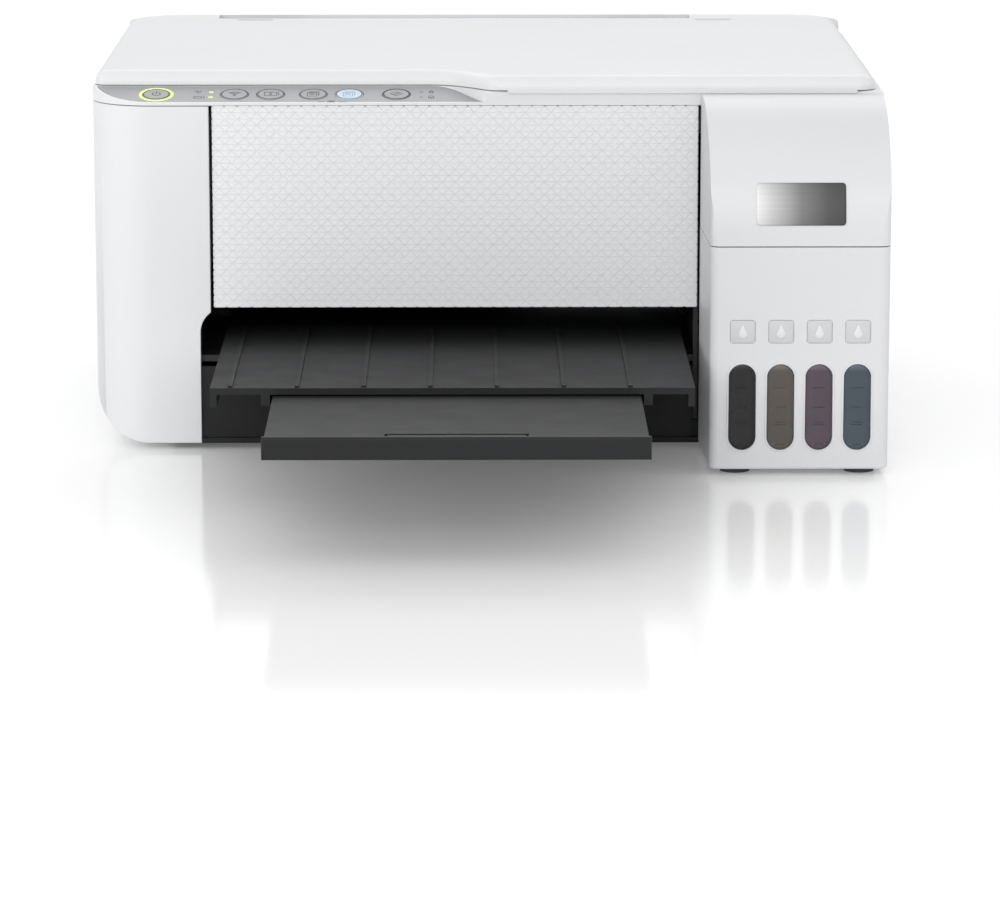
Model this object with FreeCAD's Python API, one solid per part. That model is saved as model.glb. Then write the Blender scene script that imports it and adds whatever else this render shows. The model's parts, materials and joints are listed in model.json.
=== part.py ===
import FreeCAD, Part
import math
import os

# A4 ink-tank inkjet printer, scanner and copier.  Millimetres, +Z up, the front faces -Y.
# The origin is at the middle of the footprint, on the table, with the output tray pulled out.
os.makedirs("parts", exist_ok=True)
V = FreeCAD.Vector

# ---- driving dimensions ------------------------------------------------------------------
HALF_W = 187.5            # half of the body's width
BODY_FRONT = -16.0        # front plane of the left column and of the patterned panel
BODY_REAR = 267.0         # back of the rear cover
TANK_FRONT = -80.0        # front plane of the ink tank unit
TRAY_TIP = -267.0         # front lip of the extended output tray
BODY_FLOOR = 3.0          # underside of the body; the feet reach the table at 0
SEAM_Z = 165.0            # seam between the base and the scanner unit
DECK_Z = 172.0            # top rim of the scanner unit
LID_TOP = 179.0           # top of the document cover
REAR_DECK_TOP = 178.0     # top of the rear feeder's surround
SKIN = 2.5                # moulded wall thickness
GAP = 0.4                 # gap between parts that move past each other
COLUMN_R = 29.0           # plan radius of the left front column
REAR_R = 32.0             # plan radius of the rear corners
UNDERSIDE_R = 26.0        # radius of the left lower edge
PAPER_X = -15.7           # middle of the paper path
PAPER_HALF = 105.0        # half of an A4 sheet's width
EXTENSION_X = -13.7       # middle of the output tray's extension

# output opening, panel and column
OPENING_X0, OPENING_X1 = -136.0, 100.8
OPENING_FLOOR, OPENING_TOP = 5.0, 68.5
OPENING_R = 12.0
COLUMN_EDGE = -131.0
PANEL_X0, PANEL_X1 = -129.7, 100.4
PANEL_T = 2.7

# ink tank unit
TANK_X0, TANK_X1 = 103.3, 186.5
TANK_SPLAY = 2.0          # the inner side wall leans out towards the front
TANK_SEAM = 107.4
TANK_REAR = -17.0
COVER_AXIS = (-22.5, 165.5)
KNUCKLE_R = 5.5
COVER_T = 2.2
CHAMBER_X = [118.3 + 17.8 * i for i in range(4)]
INKS = ["black", "yellow", "magenta", "cyan"]
WINDOW_W, WINDOW_Z0, WINDOW_Z1 = 12.8, 12.2, 52.8
LABEL_W, LABEL_Z0, LABEL_Z1 = 11.9, 62.5, 73.5
NECK_Y = -56.0
CAP_HINGE = (-42.0, 102.0)

# control strip
STRIP_FRONT = (-15.4, 166.6)   # y and z of its front edge
STRIP_TILT = 15.0
STRIP_DEPTH = 20.6
STRIP_T = 1.2
CURB_T = 2.8                   # wall that closes the housing round the strip's swept end
BUTTON_V = 10.0                # distance of the button row from the front edge, in the strip
BUTTON_R = 6.6
BUTTON_TRAVEL = 0.8
BUTTONS = {"power": -156.1, "wifi": -119.1, "status": -102.0,
           "copy_mono": -81.8, "copy_color": -64.8, "stop": -42.5}

# paper drive
FEED_AXIS = (158.0, 60.0)
FEED_R = 6.0
EJECT_AXIS = (84.0, 60.5)
EJECT_R = 5.5
PINCH_AXIS = (158.0, 70.3)
PINCH_R = 4.0
PINCH_SPAN = 150.0
STAR_AXIS = (84.0, 71.4)
STAR_R = 5.0
MODULE = 0.8
FEED_TEETH, IDLER_TEETH, EJECT_TEETH, PINION_TEETH = 50, 54, 30, 18
GEAR_X0, GEAR_X1 = -174.0, -168.0
CHEEK_X = 176.5
SHEET = 1.5

# carriage drive
CARRIAGE_HOME = 130.0
CARRIAGE_HALF = 42.0
PULLEY_X = 160.0
PULLEY_Y = 186.0
PULLEY_R = 6.0
BELT_Z0, BELT_Z1 = 136.5, 142.5

# rear feeder: a leaning frame, local x across, y to the back, z up the slope
FEED_TILT = 20.0
FEEDER_FOOT = V(0, 218.8, 84.0)

# scanner
TUB_Z0 = 148.0
LIFT_AXIS = (250.0, 172.5)
LID_AXIS = (236.5, 174.0)
HINGE_STEP_Z = 169.6      # the rear edge is lower, so that the cover's back can swing down


# ---- small helpers -----------------------------------------------------------------------
def box(x0, x1, y0, y1, z0, z1):
    return Part.makeBox(x1 - x0, y1 - y0, z1 - z0, V(x0, y0, z0))


def rod_x(r, x0, x1, y, z):
    return Part.makeCylinder(r, x1 - x0, V(x0, y, z), V(1, 0, 0))


def rod_y(r, y0, y1, x, z):
    return Part.makeCylinder(r, y1 - y0, V(x, y0, z), V(0, 1, 0))


def rod_z(r, z0, z1, x, y):
    return Part.makeCylinder(r, z1 - z0, V(x, y, z0), V(0, 0, 1))


def join(shapes):
    return shapes[0].multiFuse(shapes[1:]).removeSplitter() if len(shapes) > 1 else shapes[0]


def profile_x(points, x0, x1):
    """A closed outline in the YZ plane, extruded from x0 to x1."""
    wire = Part.makePolygon([V(x0, y, z) for y, z in points + points[:1]])
    return Part.Face(wire).extrude(V(x1 - x0, 0, 0))


def plan_prism(x0, x1, y0, y1, radii, z0, z1):
    """A rectangle seen from above; radii are front-left, front-right, rear-right, rear-left."""
    corners = [(x0, y0, radii[0]), (x1, y0, radii[1]), (x1, y1, radii[2]), (x0, y1, radii[3])]
    prism = box(x0, x1, y0, y1, z0, z1)
    for x, y, r in corners:
        if r > 0:
            edges = [e for e in prism.Edges if len(e.Vertexes) == 2
                     and all(abs(v.X - x) < 1e-4 and abs(v.Y - y) < 1e-4 for v in e.Vertexes)]
            prism = prism.makeFillet(r, edges)
    return prism


def round_edges(shape, r, wanted):
    return shape.makeFillet(r, [e for e in shape.Edges if wanted(e.BoundBox)])


def stadium(x, z0, z1, width, y0, y1):
    """An upright slot shape with round ends, extruded along Y."""
    r = width / 2
    return join([box(x - r, x + r, y0, y1, z0 + r, z1 - r), rod_y(r, y0, y1, x, z0 + r),
                 rod_y(r, y0, y1, x, z1 - r)])


def body_prism(inset, z0, z1):
    return plan_prism(-HALF_W + inset, HALF_W - inset, BODY_FRONT + inset, BODY_REAR - inset,
                      [COLUMN_R - inset, 0, REAR_R - inset, REAR_R - inset], z0, z1)


def body_solid(inset, top):
    """The base's outer form: the plan outline, with a large radius under the left side."""
    z0 = BODY_FLOOR + inset
    form = body_prism(inset, z0, top)
    side = box(-HALF_W + inset, HALF_W, BODY_FRONT - 1, BODY_REAR + 1, z0, top + 1)
    side = round_edges(side, UNDERSIDE_R - inset,
                       lambda b: b.XMax < -HALF_W + inset + 0.01 and b.ZMax < z0 + 0.01)
    return form.common(side)


def opening_prism(grow):
    """The paper opening with its rounded upper left corner, cut from front to back."""
    form = box(OPENING_X0 - grow, OPENING_X1 + grow, BODY_FRONT - 5, 5, OPENING_FLOOR, OPENING_TOP + grow)
    return round_edges(form, OPENING_R + grow,
                       lambda b: b.XMax < OPENING_X0 - grow + 0.01 and b.ZMin > OPENING_TOP + grow - 0.01)


def leaning(shape):
    """Carries a shape from the feeder's own upright frame into its leaning place."""
    s = shape.copy()
    s.translate(FEEDER_FOOT)
    s.rotate(FEEDER_FOOT, V(1, 0, 0), -FEED_TILT)
    return s


# ---- outer shells of the base ------------------------------------------------------------
def base_shell():
    return body_solid(0, SEAM_Z - 0.2).cut(body_solid(SKIN, SEAM_Z + 5))


SHELL = base_shell()
SPLIT_X = 150.0
FLOOR_TOP = BODY_FLOOR + SKIN


def left_side_cover():
    column = box(-SPLIT_X, COLUMN_EDGE, BODY_FRONT - 1, BODY_FRONT + SKIN, 0, SEAM_Z)
    side = box(-HALF_W - 1, -SPLIT_X, BODY_FRONT - 1, BODY_REAR + 1, 0, SEAM_Z)
    edge_return = box(COLUMN_EDGE - 2, COLUMN_EDGE, BODY_FRONT + 0.5, BODY_FRONT + 20,
                      OPENING_TOP + 10, SEAM_Z - 6)
    foot = box(OPENING_X0, COLUMN_EDGE, BODY_FRONT - 1, BODY_FRONT + SKIN, 0, OPENING_FLOOR + 1)
    return join([SHELL.common(join([column, side])), edge_return]).cut(opening_prism(0)).cut(foot)


def right_side_cover():
    return SHELL.common(box(SPLIT_X, HALF_W + 1, BODY_FRONT - 1, BODY_REAR + 1, FLOOR_TOP, SEAM_Z))


AC_X, AC_Z = 138.0, 32.0
USB_X, USB_Z = -118.0, 26.0
REAR_SCREWS = [(-135.0, 20.0), (-135.0, 150.0), (0.0, 20.0), (0.0, 150.0), (135.0, 12.5), (135.0, 150.0)]


def rear_cover():
    cover = SHELL.common(box(-SPLIT_X, SPLIT_X, BODY_REAR - SKIN, BODY_REAR, FLOOR_TOP, SEAM_Z))
    pads = [rod_y(5.5, BODY_REAR - 6, BODY_REAR - 0.5, x, z) for x, z in REAR_SCREWS]
    cuts = [box(AC_X - 11.5, AC_X + 11.5, BODY_REAR - 8, BODY_REAR + 1, AC_Z - 9, AC_Z + 9),
            box(USB_X - 7, USB_X + 7, BODY_REAR - 8, BODY_REAR + 1, USB_Z - 7, USB_Z + 7)]
    for x, z in REAR_SCREWS:
        cuts.append(rod_y(3.4, BODY_REAR - 2, BODY_REAR + 1, x, z))
        cuts.append(rod_y(1.5, BODY_REAR - 7, BODY_REAR, x, z))
    for i in range(14):
        x = 20.0 + 6.0 * i
        cuts.append(box(x, x + 2.4, BODY_REAR - 8, BODY_REAR + 1, 60, 92))
    return join([cover] + pads).cut(join(cuts))


def case_screws():
    screws = []
    for x, z in REAR_SCREWS:
        head = rod_y(3.1, BODY_REAR - 2, BODY_REAR - 0.3, x, z)
        shank = rod_y(1.45, BODY_REAR - 9, BODY_REAR - 2, x, z)
        slot_a = box(x - 2, x + 2, BODY_REAR - 1.1, BODY_REAR, z - 0.4, z + 0.4)
        slot_b = box(x - 0.4, x + 0.4, BODY_REAR - 1.1, BODY_REAR, z - 2, z + 2)
        screws.append(head.fuse(shank).cut(slot_a.fuse(slot_b)))
    return Part.makeCompound(screws)


def base_housing():
    floor = SHELL.common(box(-SPLIT_X, HALF_W, BODY_FRONT - 1, BODY_REAR + 1, BODY_FLOOR, FLOOR_TOP))
    floor = floor.cut(box(-SPLIT_X - 1, OPENING_X0, BODY_FRONT - 1, BODY_FRONT + SKIN, 0, FLOOR_TOP + 1))
    inner = box(-SPLIT_X + 1, HALF_W - 11, BODY_FRONT + 3, BODY_REAR - 12.5, FLOOR_TOP, FLOOR_TOP + 8)
    rim = inner.cut(box(-SPLIT_X + 3, HALF_W - 13, BODY_FRONT + 5, BODY_REAR - 14.5, FLOOR_TOP - 1, 20))
    sill = box(OPENING_X0 + 0.2, OPENING_X1 - 2.6, BODY_FRONT + 1.5, BODY_FRONT + 4, FLOOR_TOP, 40.0)
    return join([floor, rim, sill])


FEET = [(-140.0, 15.0), (-140.0, 238.0), (140.0, 238.0), (140.0, 40.0), (116.0, -66.0), (174.0, -66.0)]


def rubber_feet():
    return Part.makeCompound([rod_z(7.0, 0, BODY_FLOOR, x, y) for x, y in FEET])


# ---- black throat round the output tray --------------------------------------------------
SHELF_Z = 45.0


def front_frame():
    x0, x1 = OPENING_X0 - 2.4, OPENING_X1
    left = box(x0, x0 + 2.2, BODY_FRONT + SKIN + 0.2, 44, 14, 108)
    ledge = box(x0 + 2.2, x0 + 7, BODY_FRONT + 10, 44, 34, 37)
    block = box(x0 + 5, x0 + 11, 6, 20, 20, 34)
    right = box(x1 - 2.2, x1, BODY_FRONT + SKIN + 0.2, 44, 14, 108)
    shelf = box(x0, x1, BODY_FRONT + 4.2, 150, SHELF_Z - 3, SHELF_Z)
    tongues = [box(x, x + 2.2, 40, 90, 56, 78) for x in (x0, x1 - 2.2)]
    holes = [rod_x(3.0, x0 - 1, x1 + 1, *EJECT_AXIS), rod_x(1.05, x0 - 1, x1 + 1, *STAR_AXIS)]
    return join([left, ledge, block.fuse(box(x0 + 2, x0 + 6, 6, 20, 20, 34)), right, shelf]
                + tongues).cut(join(holes))


# ---- ink tank unit -----------------------------------------------------------------------
def tank_plan(inset, rear, z0, z1):
    x0, x1, y0 = TANK_X0 + inset, TANK_X1 - inset, TANK_FRONT + inset
    back = x0 - TANK_SPLAY * (rear - y0) / (BODY_FRONT - TANK_FRONT)
    outline = [V(x0, y0, z0), V(x1, y0, z0), V(x1, rear, z0), V(back, rear, z0), V(x0, y0, z0)]
    prism = Part.Face(Part.makePolygon(outline)).extrude(V(0, 0, z1 - z0))
    prism = round_edges(prism, 4.0 - inset, lambda b: b.YMax < y0 + 0.1 and b.XMax < x0 + 0.1
                        and b.ZLength > 1)
    return round_edges(prism, 5.0 - inset, lambda b: b.YMax < y0 + 0.1 and b.XMin > x1 - 0.1
                       and b.ZLength > 1)


def tank_housing():
    shell = tank_plan(0, BODY_FRONT - 0.2, BODY_FLOOR, TANK_SEAM)
    shell = shell.cut(tank_plan(COVER_T, BODY_FRONT + 5, BODY_FLOOR + COVER_T, TANK_SEAM + 5))
    shell = round_edges(shell, 1.5, lambda b: b.YMax < TANK_FRONT + 0.01 and b.ZMax < BODY_FLOOR + 0.01
                        and b.XLength > 50)
    for x in CHAMBER_X:
        shell = shell.cut(stadium(x, WINDOW_Z0, WINDOW_Z1, WINDOW_W, TANK_FRONT - 1, TANK_FRONT + 4))
        label = box(x - LABEL_W / 2, x + LABEL_W / 2, TANK_FRONT - 1, TANK_FRONT + 0.7, LABEL_Z0, LABEL_Z1)
        label = round_edges(label, 1.4, lambda b: b.YLength > 1)
        shell = shell.cut(label)
    return shell


TANK_TOP = 98.0


def ink_tank_unit():
    x0, x1 = CHAMBER_X[0] - 10.3, CHAMBER_X[3] + 10.3
    y0, y1 = TANK_FRONT + COVER_T + 0.3, -24.0
    form = [box(x0, x1, y0, y1, 8, TANK_TOP)]
    holes = []
    for x in CHAMBER_X:
        form.append(stadium(x, WINDOW_Z0 + 0.15, WINDOW_Z1 - 0.15, WINDOW_W - 0.3, TANK_FRONT + 0.5, y0 + 1))
        form.append(rod_z(6.0, TANK_TOP, 104, x, NECK_Y))
        holes.append(box(x - 7.7, x + 7.7, y0 + 1.6, y1 - 1.6, 9.6, TANK_TOP - 1.6))
        holes.append(rod_z(3.2, TANK_TOP - 3, 105, x, NECK_Y))
        for side in (-1, 1):
            ear_x = x + side * 5.6
            ear = join([box(ear_x - 0.8, ear_x + 0.8, CAP_HINGE[0] - 2.6, CAP_HINGE[0] + 2.6,
                            TANK_TOP, CAP_HINGE[1]),
                        rod_x(2.6, ear_x - 0.8, ear_x + 0.8, *CAP_HINGE)])
            form.append(ear)
            holes.append(rod_x(1.55, ear_x - 1, ear_x + 1, *CAP_HINGE))
    for bx in (x0, x1 - 3):
        form.append(box(bx, bx + 3, COVER_AXIS[0] - 3, COVER_AXIS[0] + 3, 90, COVER_AXIS[1] - 7))
        form.append(box(bx, bx + 3, COVER_AXIS[0] - 3, COVER_AXIS[0] - 0.4, 90, COVER_AXIS[1]))
        form.append(box(bx, bx + 3, -26, COVER_AXIS[0] + 3, 80, 96))
        form.append(rod_x(3.0, bx, bx + 3, *COVER_AXIS))
        holes.append(rod_x(1.55, bx - 1, bx + 4, *COVER_AXIS))
    return join(form).cut(join(holes))


def tank_cap(x):
    skirt = rod_z(7.4, 102.4, 114, x, NECK_Y)
    skirt = round_edges(skirt, 1.0, lambda b: b.ZMin > 113.9)
    arm = box(x - 3.8, x + 3.8, NECK_Y, CAP_HINGE[0] + 1.5, 104.6, 108)
    lug = box(x - 4.2, x + 4.2, CAP_HINGE[0] - 2.0, CAP_HINGE[0] + 2.0, CAP_HINGE[1], 107)
    barrel = rod_x(2.2, x - 4.2, x + 4.2, *CAP_HINGE)
    pin = rod_x(1.5, x - 6.2, x + 6.2, *CAP_HINGE)
    tab = box(x - 3, x + 3, NECK_Y - 10.5, NECK_Y - 5, 111, 113)
    return join([skirt, arm, lug, barrel, pin, tab]).cut(rod_z(6.8, 102, 104.6, x, NECK_Y))


def cover_profile(inset, bottom):
    """Side outline of the tank cover: upright front, one large quarter round, rear knuckle."""
    yc, zc = COVER_AXIS[0], DECK_Z - 1.0 - (COVER_AXIS[0] - TANK_FRONT)
    big, small = COVER_AXIS[0] - TANK_FRONT - inset, KNUCKLE_R - inset
    top = zc + big
    s = math.sqrt(0.5)
    front = V(0, yc - big, zc)
    crest = V(0, yc, top)
    rear = V(0, yc + small, COVER_AXIS[1])
    edges = [Part.LineSegment(V(0, yc - big, bottom), front).toShape(),
             Part.Arc(front, V(0, yc - big * s, zc + big * s), crest).toShape(),
             Part.Arc(crest, V(0, yc + small * s, COVER_AXIS[1] + small * s), rear).toShape(),
             Part.LineSegment(rear, V(0, yc + small, bottom)).toShape(),
             Part.LineSegment(V(0, yc + small, bottom), V(0, yc - big, bottom)).toShape()]
    return Part.Face(Part.Wire(edges)).extrude(V(300, 0, 0))


def tank_cover():
    outer = tank_plan(0, 0, 90, 180).common(cover_profile(0, TANK_SEAM + 0.5))
    inner = tank_plan(COVER_T, 5, 90, 180).common(cover_profile(COVER_T, TANK_SEAM - 5))
    lower_rear = box(TANK_X0 - 3, TANK_X1 + 3, COVER_AXIS[0] - 10, -10, 90, 160)
    lower_rear = lower_rear.common(tank_plan(COVER_T, 5, 90, 180))
    shell = outer.cut(inner).cut(lower_rear)
    for x0 in (TANK_X0 + COVER_T - 1, TANK_X1 - COVER_T - 8):
        shell = shell.cut(box(x0, x0 + 8, -20, -10, 150, COVER_AXIS[1]))
    pins = [rod_x(1.5, TANK_X0 - 0.6, CHAMBER_X[0] - 7.4, *COVER_AXIS),
            rod_x(1.5, CHAMBER_X[3] + 7.4, TANK_X1 - 1, *COVER_AXIS)]
    return join([shell] + pins)


# ---- main frame and paper drive ----------------------------------------------------------
def main_frame():
    parts = []
    holes = []
    for side in (-1, 1):
        x0, x1 = sorted((side * CHEEK_X, side * (CHEEK_X + SHEET)))
        parts.append(box(x0, x1, 70, 206, 50, 132))
        parts.append(box(x0, x1, 74, 90, FLOOR_TOP + 8.5, 50))
        parts.append(box(x0, x1, 180, 196, FLOOR_TOP + 8.5, 50))
        for y, z, r in ((*FEED_AXIS, 3.05), (*EJECT_AXIS, 2.55), (*idler_axis(), 2.05)):
            holes.append(rod_x(r, x0 - 1, x1 + 1, y, z))
        inner = side * (CHEEK_X - 34)
        parts.append(box(*sorted((side * CHEEK_X, inner)), 154, 206, 132 - SHEET, 132))
        holes.append(rod_z(2.05, 120, 140, side * PULLEY_X, PULLEY_Y))
    parts.append(box(-CHEEK_X, CHEEK_X, 168, 168 + SHEET, 84, 132))
    parts.append(box(-CHEEK_X, CHEEK_X, 154, 168, 132 - SHEET, 132))
    parts.append(box(-CHEEK_X, CHEEK_X, 158, 168, 84, 84 + SHEET))
    for x in (-PINCH_SPAN, PINCH_SPAN - SHEET):
        parts.append(box(x, x + SHEET, 154, 163, 68, 85))
        holes.append(rod_x(1.05, x - 1, x + 3, *PINCH_AXIS))
    return join(parts).cut(join(holes))


def polar(axis, r, angle):
    return axis[0] + r * math.cos(angle), axis[1] + r * math.sin(angle)


def mesh_point(a, b, ra, rb, side):
    """Where a gear meshes with two others: the crossing of two circles round their axes."""
    d = math.dist(a, b)
    along = (ra * ra - rb * rb + d * d) / (2 * d)
    off = side * math.sqrt(ra * ra - along * along)
    ux, uy = (b[0] - a[0]) / d, (b[1] - a[1]) / d
    return a[0] + along * ux - off * uy, a[1] + along * uy + off * ux


MESH_SLACK = 0.15


def centre_distance(z1, z2):
    return MODULE * (z1 + z2) / 2 + MESH_SLACK


def idler_axis():
    return mesh_point(FEED_AXIS, EJECT_AXIS, centre_distance(FEED_TEETH, IDLER_TEETH),
                      centre_distance(IDLER_TEETH, EJECT_TEETH), 1)


PINION_ANGLE = math.radians(-32)


def pinion_axis():
    return polar(FEED_AXIS, centre_distance(FEED_TEETH, PINION_TEETH), PINION_ANGLE)


def gear(axis, teeth, phase, x0, x1, bore):
    """A spur gear with involute flanks; phase is the angle of one tooth's middle."""
    pitch_r = MODULE * teeth / 2
    base_r = pitch_r * math.cos(math.radians(20))
    tip_r, root_r = pitch_r + 0.9 * MODULE, pitch_r - 1.2 * MODULE
    slim = 0.86

    def half_angle(r):
        a = math.acos(min(1.0, base_r / r))
        a0 = math.radians(20)
        return slim * math.pi / (2 * teeth) + (math.tan(a0) - a0) - (math.tan(a) - a)

    radii = [root_r] + [max(base_r, root_r + 0.05) + (tip_r - max(base_r, root_r + 0.05)) * i / 3
                        for i in range(4)]
    points = []
    for k in range(teeth):
        middle = phase + 2 * math.pi * k / teeth
        flank = [(r, half_angle(max(r, base_r))) for r in radii]
        points += [polar(axis, r, middle - h) for r, h in flank]
        points += [polar(axis, r, middle + h) for r, h in reversed(flank)]
    blank = profile_x(points, x0, x1)
    return blank.cut(rod_x(bore, x0 - 1, x1 + 1, *axis))


def meshed_phase(axis_a, teeth_a, phase_a, axis_b, teeth_b):
    """The phase that puts gear b's gap on the tooth of gear a nearest the line of centres."""
    line = math.atan2(axis_b[1] - axis_a[1], axis_b[0] - axis_a[0])
    offset = (phase_a - line) % (2 * math.pi / teeth_a)
    return line + math.pi - offset * teeth_a / teeth_b + math.pi / teeth_b


def feed_roller():
    barrel = rod_x(FEED_R, PAPER_X - 112, PAPER_X + 112, *FEED_AXIS)
    return join([barrel, rod_x(3.0, -CHEEK_X - 4, CHEEK_X + 4, *FEED_AXIS)])


def feed_gear():
    wheel = gear(FEED_AXIS, FEED_TEETH, 0.0, GEAR_X0, GEAR_X1, 3.0)
    return join([wheel, rod_x(7, GEAR_X1, GEAR_X1 + 4, *FEED_AXIS).cut(rod_x(3, -200, 0, *FEED_AXIS))])


def idler_gear():
    axis = idler_axis()
    phase = meshed_phase(FEED_AXIS, FEED_TEETH, 0.0, axis, IDLER_TEETH)
    wheel = gear(axis, IDLER_TEETH, phase, GEAR_X0, GEAR_X1, 1.0)
    return join([wheel, rod_x(2.0, -CHEEK_X - SHEET - 1, GEAR_X1, *axis)])


def eject_gear():
    axis = idler_axis()
    phase = meshed_phase(FEED_AXIS, FEED_TEETH, 0.0, axis, IDLER_TEETH)
    phase = meshed_phase(axis, IDLER_TEETH, phase, EJECT_AXIS, EJECT_TEETH)
    return gear(EJECT_AXIS, EJECT_TEETH, phase, GEAR_X0, GEAR_X1, 2.5)


def feed_pinion():
    axis = pinion_axis()
    phase = meshed_phase(FEED_AXIS, FEED_TEETH, 0.0, axis, PINION_TEETH)
    wheel = gear(axis, PINION_TEETH, phase, GEAR_X0, GEAR_X1, 1.0)
    return join([wheel, rod_x(1.5, GEAR_X0, GEAR_X1 + 7, *axis)])


def feed_motor():
    axis = pinion_axis()
    can = rod_x(13.5, GEAR_X1 + 4, GEAR_X1 + 38, *axis)
    can = round_edges(can, 1.5, lambda b: b.XMin > GEAR_X1 + 37.9)
    foot = box(GEAR_X1 + 22, GEAR_X1 + 36, axis[0] - 9, axis[0] + 9, FLOOR_TOP, axis[1] - 8)
    return join([can, foot]).cut(rod_x(1.55, GEAR_X1, GEAR_X1 + 8, *axis))


def eject_roller():
    tyres = [rod_x(EJECT_R, x - 6, x + 6, *EJECT_AXIS) for x in star_places()]
    return join(tyres + [rod_x(2.5, -CHEEK_X - 4, CHEEK_X + 4, *EJECT_AXIS)])


def star_places():
    return [PAPER_X + 28.0 * i for i in range(-3, 4)]


def star_wheels():
    wheels = [rod_x(STAR_R, x - 0.8, x + 0.8, *STAR_AXIS) for x in star_places()]
    return join(wheels + [rod_x(1.0, OPENING_X0 - 3.4, OPENING_X1 + 1, *STAR_AXIS)])


def pinch_rollers():
    tyres = [rod_x(PINCH_R, x - 9, x + 9, *PINCH_AXIS) for x in star_places()]
    return join(tyres + [rod_x(1.0, -PINCH_SPAN - 1, PINCH_SPAN + 1, *PINCH_AXIS)])


def platen():
    x0, x1 = PAPER_X - 113, PAPER_X + 113
    bed = box(x0, x1, 91.5, 149, 57.2, 62)
    ribs = [box(x0 + 4 + 9.0 * i, x0 + 6 + 9.0 * i, 93, 148, 62, 65.4) for i in range(25)]
    arms = [box(OPENING_X0 - 2, x0, 100, 112, SHELF_Z, 60), box(x1, OPENING_X1 - 0.2, 100, 112, SHELF_Z, 60)]
    return join([bed] + ribs + arms)


def capping_station():
    tub = box(108, 156, 97, 149, 38, 60)
    cap = box(114, 150, 102, 144, 60, 65.5).cut(box(117, 147, 105, 141, 62, 66))
    wiper = box(109, 111, 102, 144, 60, 66.2)
    return join([tub.cut(box(111, 153, 100, 146, 42, 58)), cap, wiper])


def waste_ink_pad():
    return box(108, 172, 20, 86, FLOOR_TOP, 34)


# ---- carriage and its drive --------------------------------------------------------------
def carriage():
    x0, x1 = CARRIAGE_HOME - CARRIAGE_HALF, CARRIAGE_HOME + CARRIAGE_HALF
    case = box(x0, x1, 91, 152.5, 79, 126)
    case = round_edges(case, 4, lambda b: b.ZMin > 125.9 and b.YMax < 91.1)
    shoe = box(x0 + 6, x1 - 6, 152, 167.2, 87, 129.5)
    arm = box(CARRIAGE_HOME - 10, CARRIAGE_HOME + 10, 146, 152.5, 120, 136)
    reach = box(CARRIAGE_HOME - 10, CARRIAGE_HOME + 10, 146, 178.6, 133, 136)
    clamp = box(CARRIAGE_HOME - 8, CARRIAGE_HOME + 8, 175, 178.6, 133, 142)
    recess = box(x0 + 5, x1 - 5, 97, 144, 100, 130)
    ports = [rod_z(3.5, 96, 108, CARRIAGE_HOME - 24 + 16 * i, 120) for i in range(4)]
    return join([case.cut(recess), shoe, arm, reach, clamp] + ports)


def print_head():
    x0, x1 = CARRIAGE_HOME - 30, CARRIAGE_HOME + 30
    return join([box(x0, x1, 98, 146, 70, 79), box(x0 + 10, x1 - 10, 106, 138, 67, 70)])


def pulley(x):
    wheel = rod_z(PULLEY_R - 0.9, BELT_Z0 - 1.5, BELT_Z1 + 1.5, x, PULLEY_Y)
    rims = [rod_z(PULLEY_R + 1.6, BELT_Z0 - 1.9, BELT_Z0 - 0.7, x, PULLEY_Y),
            rod_z(PULLEY_R + 1.6, BELT_Z1 + 0.7, BELT_Z1 + 1.9, x, PULLEY_Y)]
    return join([wheel] + rims + [rod_z(2.0, 126, BELT_Z1 + 1.9, x, PULLEY_Y)])


def timing_belt():
    outer = join([box(-PULLEY_X, PULLEY_X, PULLEY_Y - PULLEY_R, PULLEY_Y + PULLEY_R, BELT_Z0, BELT_Z1)]
                 + [rod_z(PULLEY_R, BELT_Z0, BELT_Z1, s * PULLEY_X, PULLEY_Y) for s in (-1, 1)])
    r = PULLEY_R - 0.7
    inner = join([box(-PULLEY_X, PULLEY_X, PULLEY_Y - r, PULLEY_Y + r, BELT_Z0 - 1, BELT_Z1 + 1)]
                 + [rod_z(r, BELT_Z0 - 1, BELT_Z1 + 1, s * PULLEY_X, PULLEY_Y) for s in (-1, 1)])
    return outer.cut(inner)


def carriage_motor():
    can = rod_z(13.0, 94, 132 - SHEET, -PULLEY_X, PULLEY_Y)
    return can.cut(rod_z(2.05, 120, 132, -PULLEY_X, PULLEY_Y))


# ---- electronics -------------------------------------------------------------------------
def main_board():
    board = box(-146, -30, 176 + 24, 250, 12, 13.6)
    chips = [box(-100, -78, 214, 236, 13.6, 15.4), box(-60, -42, 210, 236, 13.6, 17),
             box(-142, -126, 206, 240, 13.6, 19), rod_z(5, 13.6, 26, -66, 242)]
    posts = [rod_z(3, FLOOR_TOP, 12, x, y) for x in (-141, -35) for y in (205, 245)]
    return join([board] + chips + posts + [usb_socket()])


def power_supply():
    case = box(96, 172, 208, 252, FLOOR_TOP, 58)
    vents = [box(100 + 6.0 * i, 103 + 6.0 * i, 214, 246, 57, 59) for i in range(11)]
    return case.cut(join(vents))


def ac_inlet():
    block = box(AC_X - 11.3, AC_X + 11.3, 252, BODY_REAR - 1.0, AC_Z - 8.8, AC_Z + 8.8)
    socket = join([rod_y(4.6, 255, BODY_REAR, AC_X - 4, AC_Z), rod_y(4.6, 255, BODY_REAR, AC_X + 4, AC_Z),
                   box(AC_X - 4, AC_X + 4, 255, BODY_REAR, AC_Z - 4.6, AC_Z + 4.6)])
    pins = [rod_y(1.2, 254, BODY_REAR - 4, AC_X + s * 4, AC_Z) for s in (-1, 1)]
    return join([block.cut(socket)] + pins)


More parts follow.
